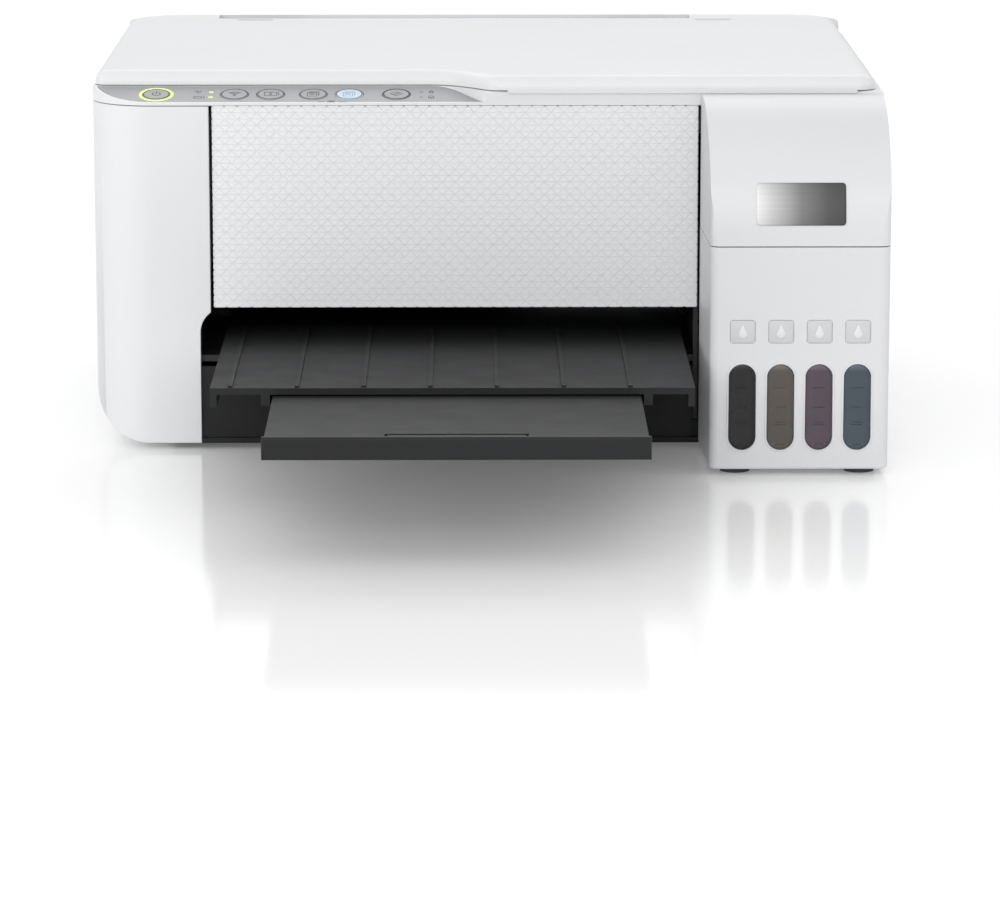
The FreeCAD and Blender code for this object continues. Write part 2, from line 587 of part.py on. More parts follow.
def usb_socket():
    shell = box(USB_X - 6.5, USB_X + 6.5, 250.5, BODY_REAR - 1.0, USB_Z - 6, USB_Z + 6)
    socket = box(USB_X - 5.6, USB_X + 5.6, 253, BODY_REAR, USB_Z - 5.1, USB_Z + 5.1)
    tongue = box(USB_X - 2.8, USB_X + 2.8, 252, BODY_REAR - 3, USB_Z - 0.3, USB_Z + 0.4)
    foot = box(USB_X - 6.5, USB_X + 6.5, 240, 252, 13.6, USB_Z - 4)
    return join([shell.cut(socket), tongue, foot])


# ---- rear paper feeder -------------------------------------------------------------------
SLOT_X0, SLOT_X1 = PAPER_X - 124, PAPER_X + 124
SLOT_Y0, SLOT_Y1 = 245.6, 263.4
GUIDE_SLOT_Z = (38.0, 44.0)


def feeder_housing():
    rim = body_prism(0, SEAM_Z, REAR_DECK_TOP).common(box(-200, 200, 243.2, 300, 150, 200))
    rim = round_edges(rim, 2.5, lambda b: b.ZMin > REAR_DECK_TOP - 0.01 and b.YMax > 244)
    hollow = body_prism(SKIN, SEAM_Z - 1, REAR_DECK_TOP - SKIN)
    pockets = [hollow.common(box(-200, SLOT_X0 - 4, 245.4, 300, 150, 200)),
               hollow.common(box(SLOT_X1 + 4, 200, 245.4, 300, 150, 200))]
    slot = box(SLOT_X0, SLOT_X1, SLOT_Y0, SLOT_Y1, 150, 200)
    lugs_way = [box(*sorted((s * 158.0, s * 172.0)), 240, 256.4, 150, 177) for s in (-1, 1)]
    rim = rim.cut(join(pockets + [slot] + lugs_way))
    ears = []
    for s in (-1, 1):
        for x in (156.4, 172.0):
            x0, x1 = sorted((s * x, s * (x + 1.6)))
            ear = box(x0, x1, 244.5, 258, SEAM_Z - 4, REAR_DECK_TOP - 1)
            ears.append(ear.cut(rod_x(2.55, x0 - 1, x1 + 1, *LIFT_AXIS)))
    hopper = leaning(box(PAPER_X - 112, PAPER_X + 112, 0, 2.5, -8, 62))
    ways = [box(PAPER_X - 106, PAPER_X - 44, -5, 10, *GUIDE_SLOT_Z),
            box(PAPER_X + 44, PAPER_X + 106, -5, 10, *GUIDE_SLOT_Z),
            box(PAPER_X - 24, PAPER_X + 24, -5, 10, -10, 14)]
    hopper = hopper.cut(leaning(join(ways)))
    cheeks = [leaning(box(x, x + 3, -8, 9.5, -8, 88)) for x in (PAPER_X - 115, PAPER_X + 112)]
    wings = [box(SLOT_X0, PAPER_X - 112, 246.5, 262, SEAM_Z - 2.4, SEAM_Z + 4),
             box(PAPER_X + 112, SLOT_X1, 246.5, 262, SEAM_Z - 2.4, SEAM_Z + 4)]
    ramp = profile_x([(168, 59.5), (168, 62.5), (196, 66), (216, 78), (219, 76), (198, 62.8)],
                     PAPER_X - 115, PAPER_X + 115)
    return join([rim, hopper, ramp] + ears + cheeks + wings)


def pickup_roller():
    axis = leaning(Part.Vertex(0, -13.6, 4)).Point
    rubber = rod_x(13.0, PAPER_X - 18, PAPER_X + 18, axis.y, axis.z)
    grooves = [rod_x(14, x, x + 1.2, axis.y, axis.z).cut(rod_x(12.2, x - 1, x + 3, axis.y, axis.z))
               for x in [PAPER_X - 12.6 + 6.0 * i for i in range(5)]]
    shaft = rod_x(3.0, PAPER_X - 112.5, PAPER_X + 112.5, axis.y, axis.z)
    return join([rubber, shaft]).cut(join(grooves))


def edge_guide(side):
    """side is -1 for the left guide and 1 for the right one; it stands at the sheet's edge."""
    x = PAPER_X + side * (PAPER_HALF + 0.5)
    x0, x1 = sorted((x, x + side * 2.0))
    fence = box(x0, x1, -7.6, -GAP, 4, 84)
    foot = box(*sorted((x - side * 14, x + side * 2)), -2.2, -GAP, 30, 60)
    tongue = box(*sorted((x - side * 2, x - side * 8)), -2, 4.2, GUIDE_SLOT_Z[0] + 0.5, GUIDE_SLOT_Z[1] - 0.5)
    return leaning(join([fence, foot, tongue]))


def paper_support():
    plate = box(PAPER_X - 84, PAPER_X + 84, 4.8, 7.6, -4, 98.0)
    plate = round_edges(plate, 8, lambda b: b.ZMin > 97 - 1 and b.YLength > 2 and b.XLength < 0.1)
    grip = box(PAPER_X - 40, PAPER_X + 40, 3.4, 4.9, 90, 92)
    return leaning(join([plate, grip]))


def support_extension():
    plate = box(PAPER_X - 60, PAPER_X + 60, 8.0, 9.6, 10, 97.4)
    plate = round_edges(plate, 6, lambda b: b.ZMin > 96 and b.YLength > 1 and b.XLength < 0.1)
    return leaning(plate)


GUARD_AXIS = (247.4, 175.6)


def feeder_guard():
    flap = box(SLOT_X0 + 1, SLOT_X1 - 1, GUARD_AXIS[0], 255.2, 174.4, 176.8)
    barrel = rod_x(1.2, SLOT_X0 + 1, SLOT_X1 - 1, *GUARD_AXIS)
    return join([flap, barrel])


# ---- output tray -------------------------------------------------------------------------
def output_tray():
    half = PAPER_HALF + 4
    y0, y1 = TRAY_TIP + 122.5, 18.0
    plate = box(PAPER_X - half, PAPER_X + half, y0, y1, 51, 54)
    rails = []
    for s in (-1, 1):
        rails.append(box(*sorted((EXTENSION_X + s * 84, EXTENSION_X + s * 88)), y0, y1, 46, 51))
        rails.append(box(*sorted((EXTENSION_X + s * 80, EXTENSION_X + s * 84)), y0, y1, 45.4, 46.5))
        rails.append(box(*sorted((PAPER_X + s * (half - 3), PAPER_X + s * half)), y0, y1, 45.4, 51))
    rails += [box(PAPER_X - half + 8 + 30.0 * i, PAPER_X - half + 10 + 30.0 * i, y0 + 2, y1 - 2, 54, 54.8)
              for i in range(7)]
    return join([plate] + rails)


def tray_extension():
    half = 82.8
    lip = box(EXTENSION_X - half, EXTENSION_X + half, TRAY_TIP, TRAY_TIP + 3, 46, 56)
    lip = round_edges(lip, 1.2, lambda b: b.YMax < TRAY_TIP + 0.01)
    plate = box(EXTENSION_X - half, EXTENSION_X + half, TRAY_TIP + 2, -112, 47, 50.4)
    pocket = box(EXTENSION_X - 31, EXTENSION_X + 31, TRAY_TIP + 6, TRAY_TIP + 36, 48, 52)
    return join([lip, plate.cut(pocket)])


STOPPER_AXIS = (TRAY_TIP + 9.0, 49.2)


def tray_stopper():
    flap = box(EXTENSION_X - 30, EXTENSION_X + 30, STOPPER_AXIS[0], TRAY_TIP + 35, 48.3, 50.1)
    return join([flap, rod_x(0.9, EXTENSION_X - 30, EXTENSION_X + 30, *STOPPER_AXIS)])


# ---- scanner unit ------------------------------------------------------------------------
def strip_region(grow, z0, z1):
    """Plan area of the control strip: straight rear edge that sweeps forward at its right end."""
    y_front, y_rear = STRIP_FRONT[0], STRIP_FRONT[0] + STRIP_DEPTH * math.cos(math.radians(STRIP_TILT))
    sweep = Part.BSplineCurve()
    sweep.interpolate([V(-29 + grow, y_rear + grow, z0), V(-16.5 + grow, y_rear - 3.7 + grow, z0),
                       V(-9 + grow, y_rear - 11.6 + grow, z0), V(1 + grow, y_front - 1, z0)])
    edges = [sweep.toShape(),
             Part.LineSegment(V(1 + grow, y_front - 1, z0), V(1 + grow, -60, z0)).toShape(),
             Part.LineSegment(V(1 + grow, -60, z0), V(-220, -60, z0)).toShape(),
             Part.LineSegment(V(-220, -60, z0), V(-220, y_rear + grow, z0)).toShape(),
             Part.LineSegment(V(-220, y_rear + grow, z0), V(-29 + grow, y_rear + grow, z0)).toShape()]
    return Part.Face(Part.Wire(edges)).extrude(V(0, 0, z1 - z0))


def strip_place(shape):
    """Carries a shape from the strip's own flat frame, y from its front edge, into place."""
    s = shape.copy()
    s.translate(V(0, STRIP_FRONT[0], STRIP_FRONT[1]))
    s.rotate(V(0, STRIP_FRONT[0], STRIP_FRONT[1]), V(1, 0, 0), STRIP_TILT)
    return s


def scanner_housing():
    skirt = body_prism(0, SEAM_Z + 0.2, DECK_Z).common(box(-200, 200, -50, 237, 100, 200))
    skirt = round_edges(skirt, 1.2, lambda b: b.ZMin > DECK_Z - 0.01 and b.YMin < 230 and b.YMax < 236)
    inner = body_prism(SKIN, SEAM_Z - 1, DECK_Z - SKIN).common(box(-200, 200, -50, 234.5, 100, 200))
    tub = box(-168, 172, 14, 222, TUB_Z0, DECK_Z - 1)
    curb = strip_region(CURB_T, SEAM_Z + 0.2, DECK_Z - 0.5).common(box(-40, 10, -50, 14, 100, 200))
    curb = curb.common(body_prism(SKIN - 0.2, 150, 200))
    form = join([skirt.cut(inner), tub, curb]).cut(box(-200, 200, 231.5, 260, HINGE_STEP_Z, 200))
    form = form.cut(box(-165.5, 169.5, 16.5, 219.5, TUB_Z0 + 2, DECK_Z + 5))
    above_strip = strip_place(box(-220, 60, -60, 60, 0, 40))
    form = form.cut(strip_region(GAP, 150, 200).common(above_strip))
    seat = strip_place(box(-220, 60, -60, 60, -STRIP_T - 0.05, 40)).common(strip_region(0.2, 150, 200))
    seat = seat.common(body_prism(1.3, 150, 200))
    floor = strip_place(box(-190, 10, 1, STRIP_DEPTH + 1, -STRIP_T - 3.4, -STRIP_T - 0.05))
    upper = floor.common(body_prism(SKIN - 0.2, SEAM_Z + 0.2, 200))
    lower = floor.common(body_prism(SKIN + 0.6, 150, SEAM_Z + 0.2))
    lower = lower.cut(box(-220, 60, -60, BODY_FRONT + 9.5, 100, SEAM_Z + 0.2))
    form = join([form, upper, lower]).cut(seat)
    wells = [strip_place(rod_z(BUTTON_R + 0.3, -9, 1, x, BUTTON_V)) for x in BUTTONS.values()]
    form = form.cut(join(wells))
    lugs = []
    for s in (-1, 1):
        x0, x1 = sorted((s * 159.0, s * 171.0))
        lugs.append(box(x0, x1, 230, 248, SEAM_Z + 0.4, HINGE_STEP_Z - 0.1))
        lugs.append(rod_x(4.2, x0, x1, *LIFT_AXIS))
        lugs.append(rod_x(2.5, *sorted((s * 154.6, s * 173.4)), *LIFT_AXIS))
        for x in (116.0, 122.0):
            ear_x0, ear_x1 = sorted((s * x, s * (x + 2)))
            ear = join([box(ear_x0, ear_x1, 233, 239, 166, LID_AXIS[1]),
                        rod_x(3.0, ear_x0, ear_x1, *LID_AXIS)])
            lugs.append(ear.cut(rod_x(1.55, ear_x0 - 1, ear_x1 + 1, *LID_AXIS)))
    rail_posts = [box(-165.5, -163, 100, 110, TUB_Z0 + 2, 158), box(167, 169.5, 100, 110, TUB_Z0 + 2, 158)]
    return join([form, glass_frame()] + lugs + rail_posts)


def front_panel():
    x0, x1, y0 = PANEL_X0, PANEL_X1, BODY_FRONT
    panel = box(x0, x1, y0, y0 + PANEL_T, OPENING_TOP, SEAM_Z + 0.2)
    panel = panel.cut(opening_prism(0.0))
    corner = box(x0 - 5, x0 + 14, y0 - 1, y0 + 9, OPENING_TOP - 2, OPENING_TOP + 3)
    round_cut = rod_y(OPENING_R, y0 - 2, y0 + 10, OPENING_X0 + OPENING_R, OPENING_TOP - OPENING_R)
    panel = panel.cut(corner.common(round_cut))
    ribs = [box(x0 + 6, x0 + 8, y0 + PANEL_T, y0 + 9, 76, SEAM_Z - 5),
            box(x1 - 8, x1 - 6, y0 + PANEL_T, y0 + 9, 76, SEAM_Z - 5),
            box(x0 + 6, x1 - 6, y0 + PANEL_T, y0 + 9, 74, 76)]
    return join([panel] + ribs)


def scanner_glass():
    return box(-163, 167, 18.5, 217.5, DECK_Z - 2.6, DECK_Z - 0.2)


def glass_frame():
    """The white ledge that the glass lies in."""
    ring = box(-165.5, 169.5, 16.5, 219.5, DECK_Z - 4.6, DECK_Z)
    window = box(-150, 156, 22, 214, 150, 180)
    return ring.cut(window).cut(box(-163.2, 167.2, 18.3, 217.7, DECK_Z - 2.6, DECK_Z - 0.2))


def scan_rail():
    return rod_x(3.0, -163, 167, 105, 155)


def scan_head():
    bar = box(-160, -141, 22, 214, 159, 166.6)
    lens = box(-153, -148, 26, 210, 166.6, 167.0)
    shoe = join([box(-162, -139, 96, 114, 151.2, 160)]).cut(rod_x(3.06, -170, -130, 105, 155))
    return join([bar, lens, shoe])


def control_panel():
    plate = strip_place(box(-220, 60, -60, 60, -STRIP_T, 0)).common(strip_region(0, 150, 200))
    plate = plate.common(body_prism(1.6, 150, 200))
    holes = [strip_place(rod_z(BUTTON_R + 0.3, -5, 5, x, BUTTON_V)) for x in BUTTONS.values()]
    return plate.cut(join(holes))


def button(x):
    cap = rod_z(BUTTON_R, -1.0, 0.9, x, BUTTON_V)
    cap = round_edges(cap, 0.5, lambda b: b.ZMin > 0.89)
    stem = rod_z(BUTTON_R - 1.2, -3.4, -1.0, x, BUTTON_V)
    return strip_place(join([cap, stem]))


# ---- document cover ----------------------------------------------------------------------
LID_X0, LID_X1 = -186.3, 184.0
LID_REAR = 240.0


def document_cover():
    plan = plan_prism(LID_X0, LID_X1, BODY_FRONT - 0.8, LID_REAR, [COLUMN_R, 2, 3, 3], DECK_Z + GAP, LID_TOP)
    plan = round_edges(plan, 3.6, lambda b: b.ZMin > LID_TOP - 0.01)
    slab = plan.cut(strip_region(1.6, 150, 200))
    hollow = box(-178, 178, 22, 226, DECK_Z, LID_TOP - 2.6)
    slab = slab.cut(hollow)
    for s in (-1, 1):
        slab = slab.cut(box(*sorted((s * 113.5, s * 126.5)), 231.5, 245, 170, 178.2))
    pins = [rod_x(1.5, *sorted((s * 112.5, s * 127.5)), *LID_AXIS) for s in (-1, 1)]
    return join([slab] + pins)


def lid_pad():
    return box(-158, 162, 24, 213, DECK_Z + 0.3, LID_TOP - 2.6)


# ---- write every piece -------------------------------------------------------------------
nodes = {
    "base_housing": base_housing(), "left_side_cover": left_side_cover(),
    "right_side_cover": right_side_cover(), "rear_cover": rear_cover(), "front_frame": front_frame(),
    "tank_housing": tank_housing(), "ink_tank_unit": ink_tank_unit(), "main_frame": main_frame(),
    "platen": platen(), "capping_station": capping_station(), "waste_ink_pad": waste_ink_pad(),
    "feed_motor": feed_motor(), "carriage_motor": carriage_motor(), "timing_belt": timing_belt(),
    "main_board": main_board(), "power_supply": power_supply(), "ac_inlet": ac_inlet(),
    "feeder_housing": feeder_housing(), "rubber_feet": rubber_feet(),
    "case_screws": case_screws(),
    "feed_roller": feed_roller(), "feed_gear": feed_gear(), "idler_gear": idler_gear(),
    "eject_gear": eject_gear(), "eject_roller": eject_roller(), "feed_pinion": feed_pinion(),
    "pinch_rollers": pinch_rollers(), "star_wheels": star_wheels(), "pickup_roller": pickup_roller(),
    "motor_pulley": pulley(-PULLEY_X), "idler_pulley": pulley(PULLEY_X),
    "carriage": carriage(), "print_head": print_head(),
    "edge_guide_left": edge_guide(-1), "edge_guide_right": edge_guide(1),
    "paper_support": paper_support(), "support_extension": support_extension(),
    "feeder_guard": feeder_guard(), "output_tray": output_tray(), "tray_extension": tray_extension(),
    "tray_stopper": tray_stopper(), "tank_cover": tank_cover(),
    "scanner_housing": scanner_housing(), "front_panel": front_panel(),
    "scanner_glass": scanner_glass(), "scan_rail": scan_rail(), "scan_head": scan_head(),
    "control_panel": control_panel(), "document_cover": document_cover(), "lid_pad": lid_pad(),
}
for ink, x in zip(INKS, CHAMBER_X):
    nodes["tank_cap_" + ink] = tank_cap(x)
for name, x in BUTTONS.items():
    nodes["button_" + name] = button(x)

for name, shape in nodes.items():
    print(name, len(shape.Solids), shape.isValid(), round(shape.Volume))
    shape.exportStep("parts/" + name + ".step")
print(len(nodes), "nodes")
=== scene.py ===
import json
import math
import random

import bmesh
import bpy
from mathutils import Matrix, Vector
from mathutils.geometry import interpolate_bezier

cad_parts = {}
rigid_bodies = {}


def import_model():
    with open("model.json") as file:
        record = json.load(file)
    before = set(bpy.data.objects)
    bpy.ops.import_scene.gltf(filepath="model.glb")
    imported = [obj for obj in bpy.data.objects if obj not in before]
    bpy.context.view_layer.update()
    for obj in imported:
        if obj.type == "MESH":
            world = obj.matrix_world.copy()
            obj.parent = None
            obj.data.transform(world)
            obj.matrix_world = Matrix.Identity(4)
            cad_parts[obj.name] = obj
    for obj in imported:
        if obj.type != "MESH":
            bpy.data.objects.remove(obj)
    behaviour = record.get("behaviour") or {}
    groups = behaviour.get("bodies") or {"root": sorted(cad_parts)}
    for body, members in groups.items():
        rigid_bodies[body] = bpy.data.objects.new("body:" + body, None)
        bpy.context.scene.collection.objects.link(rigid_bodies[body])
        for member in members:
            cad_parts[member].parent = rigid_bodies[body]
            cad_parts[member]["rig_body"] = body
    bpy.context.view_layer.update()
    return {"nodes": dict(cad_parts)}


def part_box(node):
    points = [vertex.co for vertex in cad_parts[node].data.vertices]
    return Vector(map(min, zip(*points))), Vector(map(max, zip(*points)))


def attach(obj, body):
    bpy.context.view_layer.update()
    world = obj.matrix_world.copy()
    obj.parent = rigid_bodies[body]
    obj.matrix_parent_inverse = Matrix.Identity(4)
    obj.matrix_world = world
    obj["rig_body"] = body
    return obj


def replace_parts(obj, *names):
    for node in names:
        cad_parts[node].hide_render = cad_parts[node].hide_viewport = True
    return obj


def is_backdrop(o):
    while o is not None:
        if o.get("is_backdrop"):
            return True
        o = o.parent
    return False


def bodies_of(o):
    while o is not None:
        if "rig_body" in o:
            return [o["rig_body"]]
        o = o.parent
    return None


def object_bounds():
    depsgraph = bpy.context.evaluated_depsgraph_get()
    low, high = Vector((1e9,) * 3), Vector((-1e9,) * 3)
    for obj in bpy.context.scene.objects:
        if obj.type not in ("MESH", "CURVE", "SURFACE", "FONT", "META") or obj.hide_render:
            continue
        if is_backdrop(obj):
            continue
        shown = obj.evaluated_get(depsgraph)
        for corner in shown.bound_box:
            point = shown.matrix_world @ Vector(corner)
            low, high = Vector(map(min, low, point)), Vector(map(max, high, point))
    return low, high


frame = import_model()
MM = 0.001

# ---- studio ------------------------------------------------------------------------------
# A polished, faintly lit white board under soft light, which mirrors the printer a little:
# a soft box in front, one at each side and a wide one over the board behind.


class Wire:
    """A socket in a shader, which takes part in sums as a number would."""

    def __init__(self, tree, socket=None):
        self.tree = tree
        self.socket = socket

    def node(self, kind, settings=(), values=(), output=0):
        """A new node: its settings, then a number, a colour or a wire for each socket."""
        made = self.tree.nodes.new("ShaderNode" + kind)
        for name, value in dict(settings).items():
            if name == "stops":
                for place, colour in value[1:-1]:
                    made.color_ramp.elements.new(place).color = colour
                for index in (0, -1):
                    made.color_ramp.elements[index].position = value[index][0]
                    made.color_ramp.elements[index].color = value[index][1]
            else:
                setattr(made, name, value)
        for name, value in dict(values).items():
            if isinstance(value, Wire):
                self.tree.links.new(value.socket, made.inputs[name])
            else:
                made.inputs[name].default_value = value
        return Wire(self.tree, made.outputs[output])

    def math(self, operation, a, b=0.0):
        return self.node("Math", {"operation": operation}, {0: a, 1: b})

    def __add__(self, other):
        return self.math("ADD", self, other)

    __radd__ = __add__

    def __sub__(self, other):
        return self.math("SUBTRACT", self, other)

    def __rsub__(self, other):
        return self.math("SUBTRACT", other, self)

    def __mul__(self, other):
        return self.math("MULTIPLY", self, other)

    __rmul__ = __mul__

    def mixed(self, low, high):
        """The colour low where this is 0 and high where it is 1."""
        return self.node("Mix", {"data_type": "RGBA"}, {0: self, 6: low, 7: high}, output=2)

    def eased(self, low, high):
        """0 below low, 1 above high, smooth between."""
        return self.node("MapRange", {"interpolation_type": "SMOOTHSTEP"},
                         {"Value": self, "From Min": low, "From Max": high})


def tone(level, tint=(1.0, 1.0, 1.0)):
    """A colour from a grey level and a tint."""
    return (level * tint[0], level * tint[1], level * tint[2], 1.0)


def finish(name, make, **fixed):
    """A material; make(start) gives the surface's varying sockets, fixed its constant ones."""
    made = bpy.data.materials.new(name)
    made.use_nodes = True
    made.node_tree.nodes.clear()
    start = Wire(made.node_tree)
    sockets = {key.replace("_", " "): value for key, value in fixed.items()}
    sockets.update(make(start))
    surface = start.node("BsdfPrincipled", {}, sockets)
    output = made.node_tree.nodes.new("ShaderNodeOutputMaterial")
    made.node_tree.links.new(surface.socket, output.inputs["Surface"])
    return made


def noise(start, scale, detail=2.0, stretch=None):
    """Cloudy noise on the piece's own coordinates; stretch makes it longer along an axis."""
    place = start.node("TexCoord", output="Object")
    if stretch:
        place = start.node("Mapping", {}, {"Vector": place, "Scale": stretch})
    return start.node("TexNoise", {}, {"Vector": place, "Scale": scale, "Detail": detail})


def bump(start, height, depth, strength=1.0):
    return start.node("Bump", {}, {"Height": height, "Distance": depth, "Strength": strength})


def board(start):
    haze = noise(start, 3.0, 3.0)
    return {"Base Color": haze.mixed(tone(0.90), tone(0.93)), "Roughness": haze * 0.05 + 0.10}


def object_of(name, bm, material, smooth=35.0):
    """Turns a bmesh into an object, with creases kept above the smooth angle."""
    mesh = bpy.data.meshes.new(name)
    bm.to_mesh(mesh)
    bm.free()
    mesh.shade_smooth()
    mesh.set_sharp_from_angle(angle=math.radians(smooth))
    mesh.materials.append(material)
    made = bpy.data.objects.new(name, mesh)
    bpy.context.scene.collection.objects.link(made)
    return made


bm = bmesh.new()
bmesh.ops.create_grid(bm, x_segments=2, y_segments=2, size=9.0)
floor = object_of("floor", bm, finish("white_board", board, IOR=1.45, Emission_Color=tone(1.0),
                                     Emission_Strength=0.10))
floor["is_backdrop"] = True

world = bpy.data.worlds.new("surround")
bpy.context.scene.world = world
world.use_nodes = True
world.node_tree.nodes["Background"].inputs["Color"].default_value = (1.0, 1.0, 1.0, 1.0)
world.node_tree.nodes["Background"].inputs["Strength"].default_value = 0.83


def soft_box(name, place, aim, width, height, power):
    light = bpy.data.lights.new(name, "AREA")
    light.shape = "RECTANGLE"
    light.size = width
    light.size_y = height
    light.energy = power
    lamp = bpy.data.objects.new(name, light)
    bpy.context.scene.collection.objects.link(lamp)
    lamp.location = place
    lamp.rotation_euler = (Vector(aim) - Vector(place)).to_track_quat("-Z", "Y").to_euler()


soft_box("key_light", (-0.3, -2.7, 1.1), (0.0, 0.0, 0.1), 2.0, 1.2, 25.0)
soft_box("left_light", (-2.3, -1.5, 0.9), (0.1, 0.0, 0.1), 1.2, 1.2, 14.0)
soft_box("right_light", (2.4, -0.6, 1.3), (0.1, 0.0, 0.1), 1.0, 1.6, 5.0)
soft_box("board_light", (0.0, 3.2, 2.4), (0.0, 3.0, 0.0), 5.0, 2.4, 60.0)

camera = bpy.data.objects.new("camera", bpy.data.cameras.new("camera"))
bpy.context.scene.collection.objects.link(camera)
camera.location = (-0.0087, -2.1868, 0.4417)
camera.rotation_euler = (math.pi / 2 - 0.201, 0.0, -0.007)
camera.data.lens = 166.63
camera.data.sensor_width = 36.0
bpy.context.scene.camera = camera
bpy.context.scene.view_settings.view_transform = "Standard"

# ---- outer shells ------------------------------------------------------------------------
# Side and rear covers and the dark floor pan: injection-moulded polystyrene, satin outside,
# with a fine spark-eroded grain. Six cross-head screws hold the rear; six rubber feet stand.


def moulding(name, colour, roughness, grain=1400.0, depth=0.00003, flow=0.03, brushed=None, **fixed):
    """Moulded plastic: faint flow in the colour, uneven polish, and the mould's grain."""

    def make(start):
        cloud = noise(start, 7.0, 2.0)
        wear = noise(start, 60.0, 5.0)
        dark = tone(1.0 - flow, colour)
        return {"Base Color": cloud.eased(0.3, 0.7).mixed(dark, tone(1.0, colour)),
                "Roughness": (wear - 0.5) * 0.14 + roughness,
                "Normal": bump(start, noise(start, grain, 3.0, brushed), depth, 0.6)}

    return finish(name, make, **fixed)


WHITE = moulding("white_moulding", (0.69, 0.695, 0.705), 0.4, flow=0.015)
DARK = moulding("dark_moulding", (0.012, 0.0125, 0.0135), 0.52, depth=0.00006, flow=0.12,
                Specular_IOR_Level=0.25)
BLACK = moulding("black_moulding", (0.010, 0.010, 0.011), 0.55, depth=0.00006, flow=0.15)
RUBBER = moulding("foot_rubber", (0.055, 0.055, 0.057), 0.85, grain=700.0, depth=0.00008, flow=0.2)


def dress(node, material):
    """A CAD piece whose shape is right keeps its mesh and takes a material."""
    mesh = frame["nodes"][node].data
    mesh.materials.clear()
    mesh.materials.append(material)


def body_of(node):
    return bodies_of(frame["nodes"][node])[0]


def fitted(piece, node):
    """The piece rides where the CAD node does."""
    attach(piece, body_of(node))
    return piece


def stand_in(piece, node):
    """The piece rides where the CAD node does and is shown instead of it."""
    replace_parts(fitted(piece, node), node)
    return piece


def softened(node, material, radius=0.4, segments=2, crease=50.0):
    """The CAD shape with its crisp edges rounded, as they come out of a mould."""
    bm = bmesh.new()
    bm.from_mesh(frame["nodes"][node].data)
    bmesh.ops.remove_doubles(bm, verts=bm.verts, dist=0.003 * MM)
    bmesh.ops.dissolve_limit(bm, angle_limit=math.radians(0.5), verts=bm.verts, edges=bm.edges)
    piece = object_of(node + "_shell", bm, material, smooth=65.0)
    rounding = piece.modifiers.new("rounding", "BEVEL")
    rounding.width = radius * MM
    rounding.segments = segments
    rounding.limit_method = "ANGLE"
    rounding.angle_limit = math.radians(crease)
    rounding.use_clamp_overlap = True
    shading = piece.modifiers.new("shading", "WEIGHTED_NORMAL")
    shading.keep_sharp = True
    return stand_in(piece, node)


for node in ("left_side_cover", "right_side_cover", "rear_cover"):
    softened(node, WHITE)
dress("base_housing", DARK)
dress("rubber_feet", RUBBER)
dress("front_frame", BLACK)


def steel(name, colour, roughness, along, fine=260.0, **fixed):
    """Rolled, ground or turned metal: fine lines along one axis and a few dull patches."""

    def make(start):
        lines = noise(start, fine, 4.0, stretch=along)
        patches = noise(start, 22.0, 3.0)
        return {"Base Color": lines.mixed(tone(0.82, colour), tone(1.1, colour)),
                "Roughness": (lines - 0.5) * 0.2 + (patches - 0.5) * 0.2 + roughness,
                "Normal": bump(start, lines, 0.00002, 0.5)}

    return finish(name, make, Metallic=1.0, **fixed)


ACROSS = (0.03, 1.0, 1.0)
dress("case_screws", steel("screw_steel", (0.42, 0.42, 0.43), 0.35, (1.0, 0.1, 1.0)))

# ---- frame and paper drive ---------------------------------------------------------------
# Two zinc-coated cheeks and a folded rail carry the rollers and the carriage; acetal gears
# on the left end turn the ground steel feed roller and the rubber-tyred eject roller.
ZINC = steel("zinc_sheet", (0.62, 0.64, 0.66), 0.34, ACROSS, 90.0)
GROUND = steel("ground_steel", (0.56, 0.56, 0.58), 0.22, (1.0, 0.05, 0.05), 500.0)
MOTOR = steel("motor_can", (0.5, 0.5, 0.52), 0.3, ACROSS, 200.0)
BRASS = steel("turned_brass", (0.78, 0.60, 0.28), 0.3, ACROSS, 300.0)
ACETAL = moulding("acetal_gear", (0.78, 0.78, 0.74), 0.42, flow=0.05)
TYRE = moulding("roller_rubber", (0.05, 0.05, 0.053), 0.8, grain=500.0, depth=0.0001, flow=0.2)
dress("main_frame", ZINC)
dress("platen", BLACK)
for node in ("feed_roller", "star_wheels", "scan_rail"):
    dress(node, GROUND)
for node in ("feed_gear", "idler_gear", "eject_gear", "idler_pulley"):
    dress(node, ACETAL)
for node in ("feed_pinion", "motor_pulley"):
    dress(node, BRASS)
for node in ("eject_roller", "pickup_roller"):
    dress(node, TYRE)
for node in ("feed_motor", "carriage_motor"):
    dress(node, MOTOR)
dress("pinch_rollers", DARK)

# ---- carriage, belt and service parts ----------------------------------------------------
# The carriage slides on the rail and is clamped to a toothed neoprene belt; at the right it
# parks over the capping station, whose waste ink runs into a pressed felt pad below.
dress("carriage", BLACK)
dress("print_head", DARK)
dress("capping_station", BLACK)
dress("timing_belt", moulding("belt_rubber", (0.02, 0.02, 0.021), 0.75, grain=600.0, flow=0.2))


def felt(start):
    fibres = noise(start, 900.0, 6.0)
    tufts = noise(start, 120.0, 4.0)
    return {"Base Color": fibres.mixed(tone(0.66), tone(0.86, (1.0, 0.99, 0.96))), "Roughness": 0.95,
            "Normal": bump(start, fibres * 0.6 + tufts, 0.0004)}


def block(bm, low, high, radius=0.0, segments=2):
    """Adds a box between two corners to a bmesh, with its edges rounded."""
    low, high = Vector(low), Vector(high)
    made = bmesh.ops.create_cube(bm, size=1.0)["verts"]
    bmesh.ops.scale(bm, vec=high - low, verts=made)
    bmesh.ops.translate(bm, vec=(low + high) / 2, verts=made)
    if radius:
        edges = {e for v in made for e in v.link_edges}
        bmesh.ops.bevel(bm, geom=list(edges), affect="EDGES", offset=radius, segments=segments,
                        profile=0.5, material=-1)


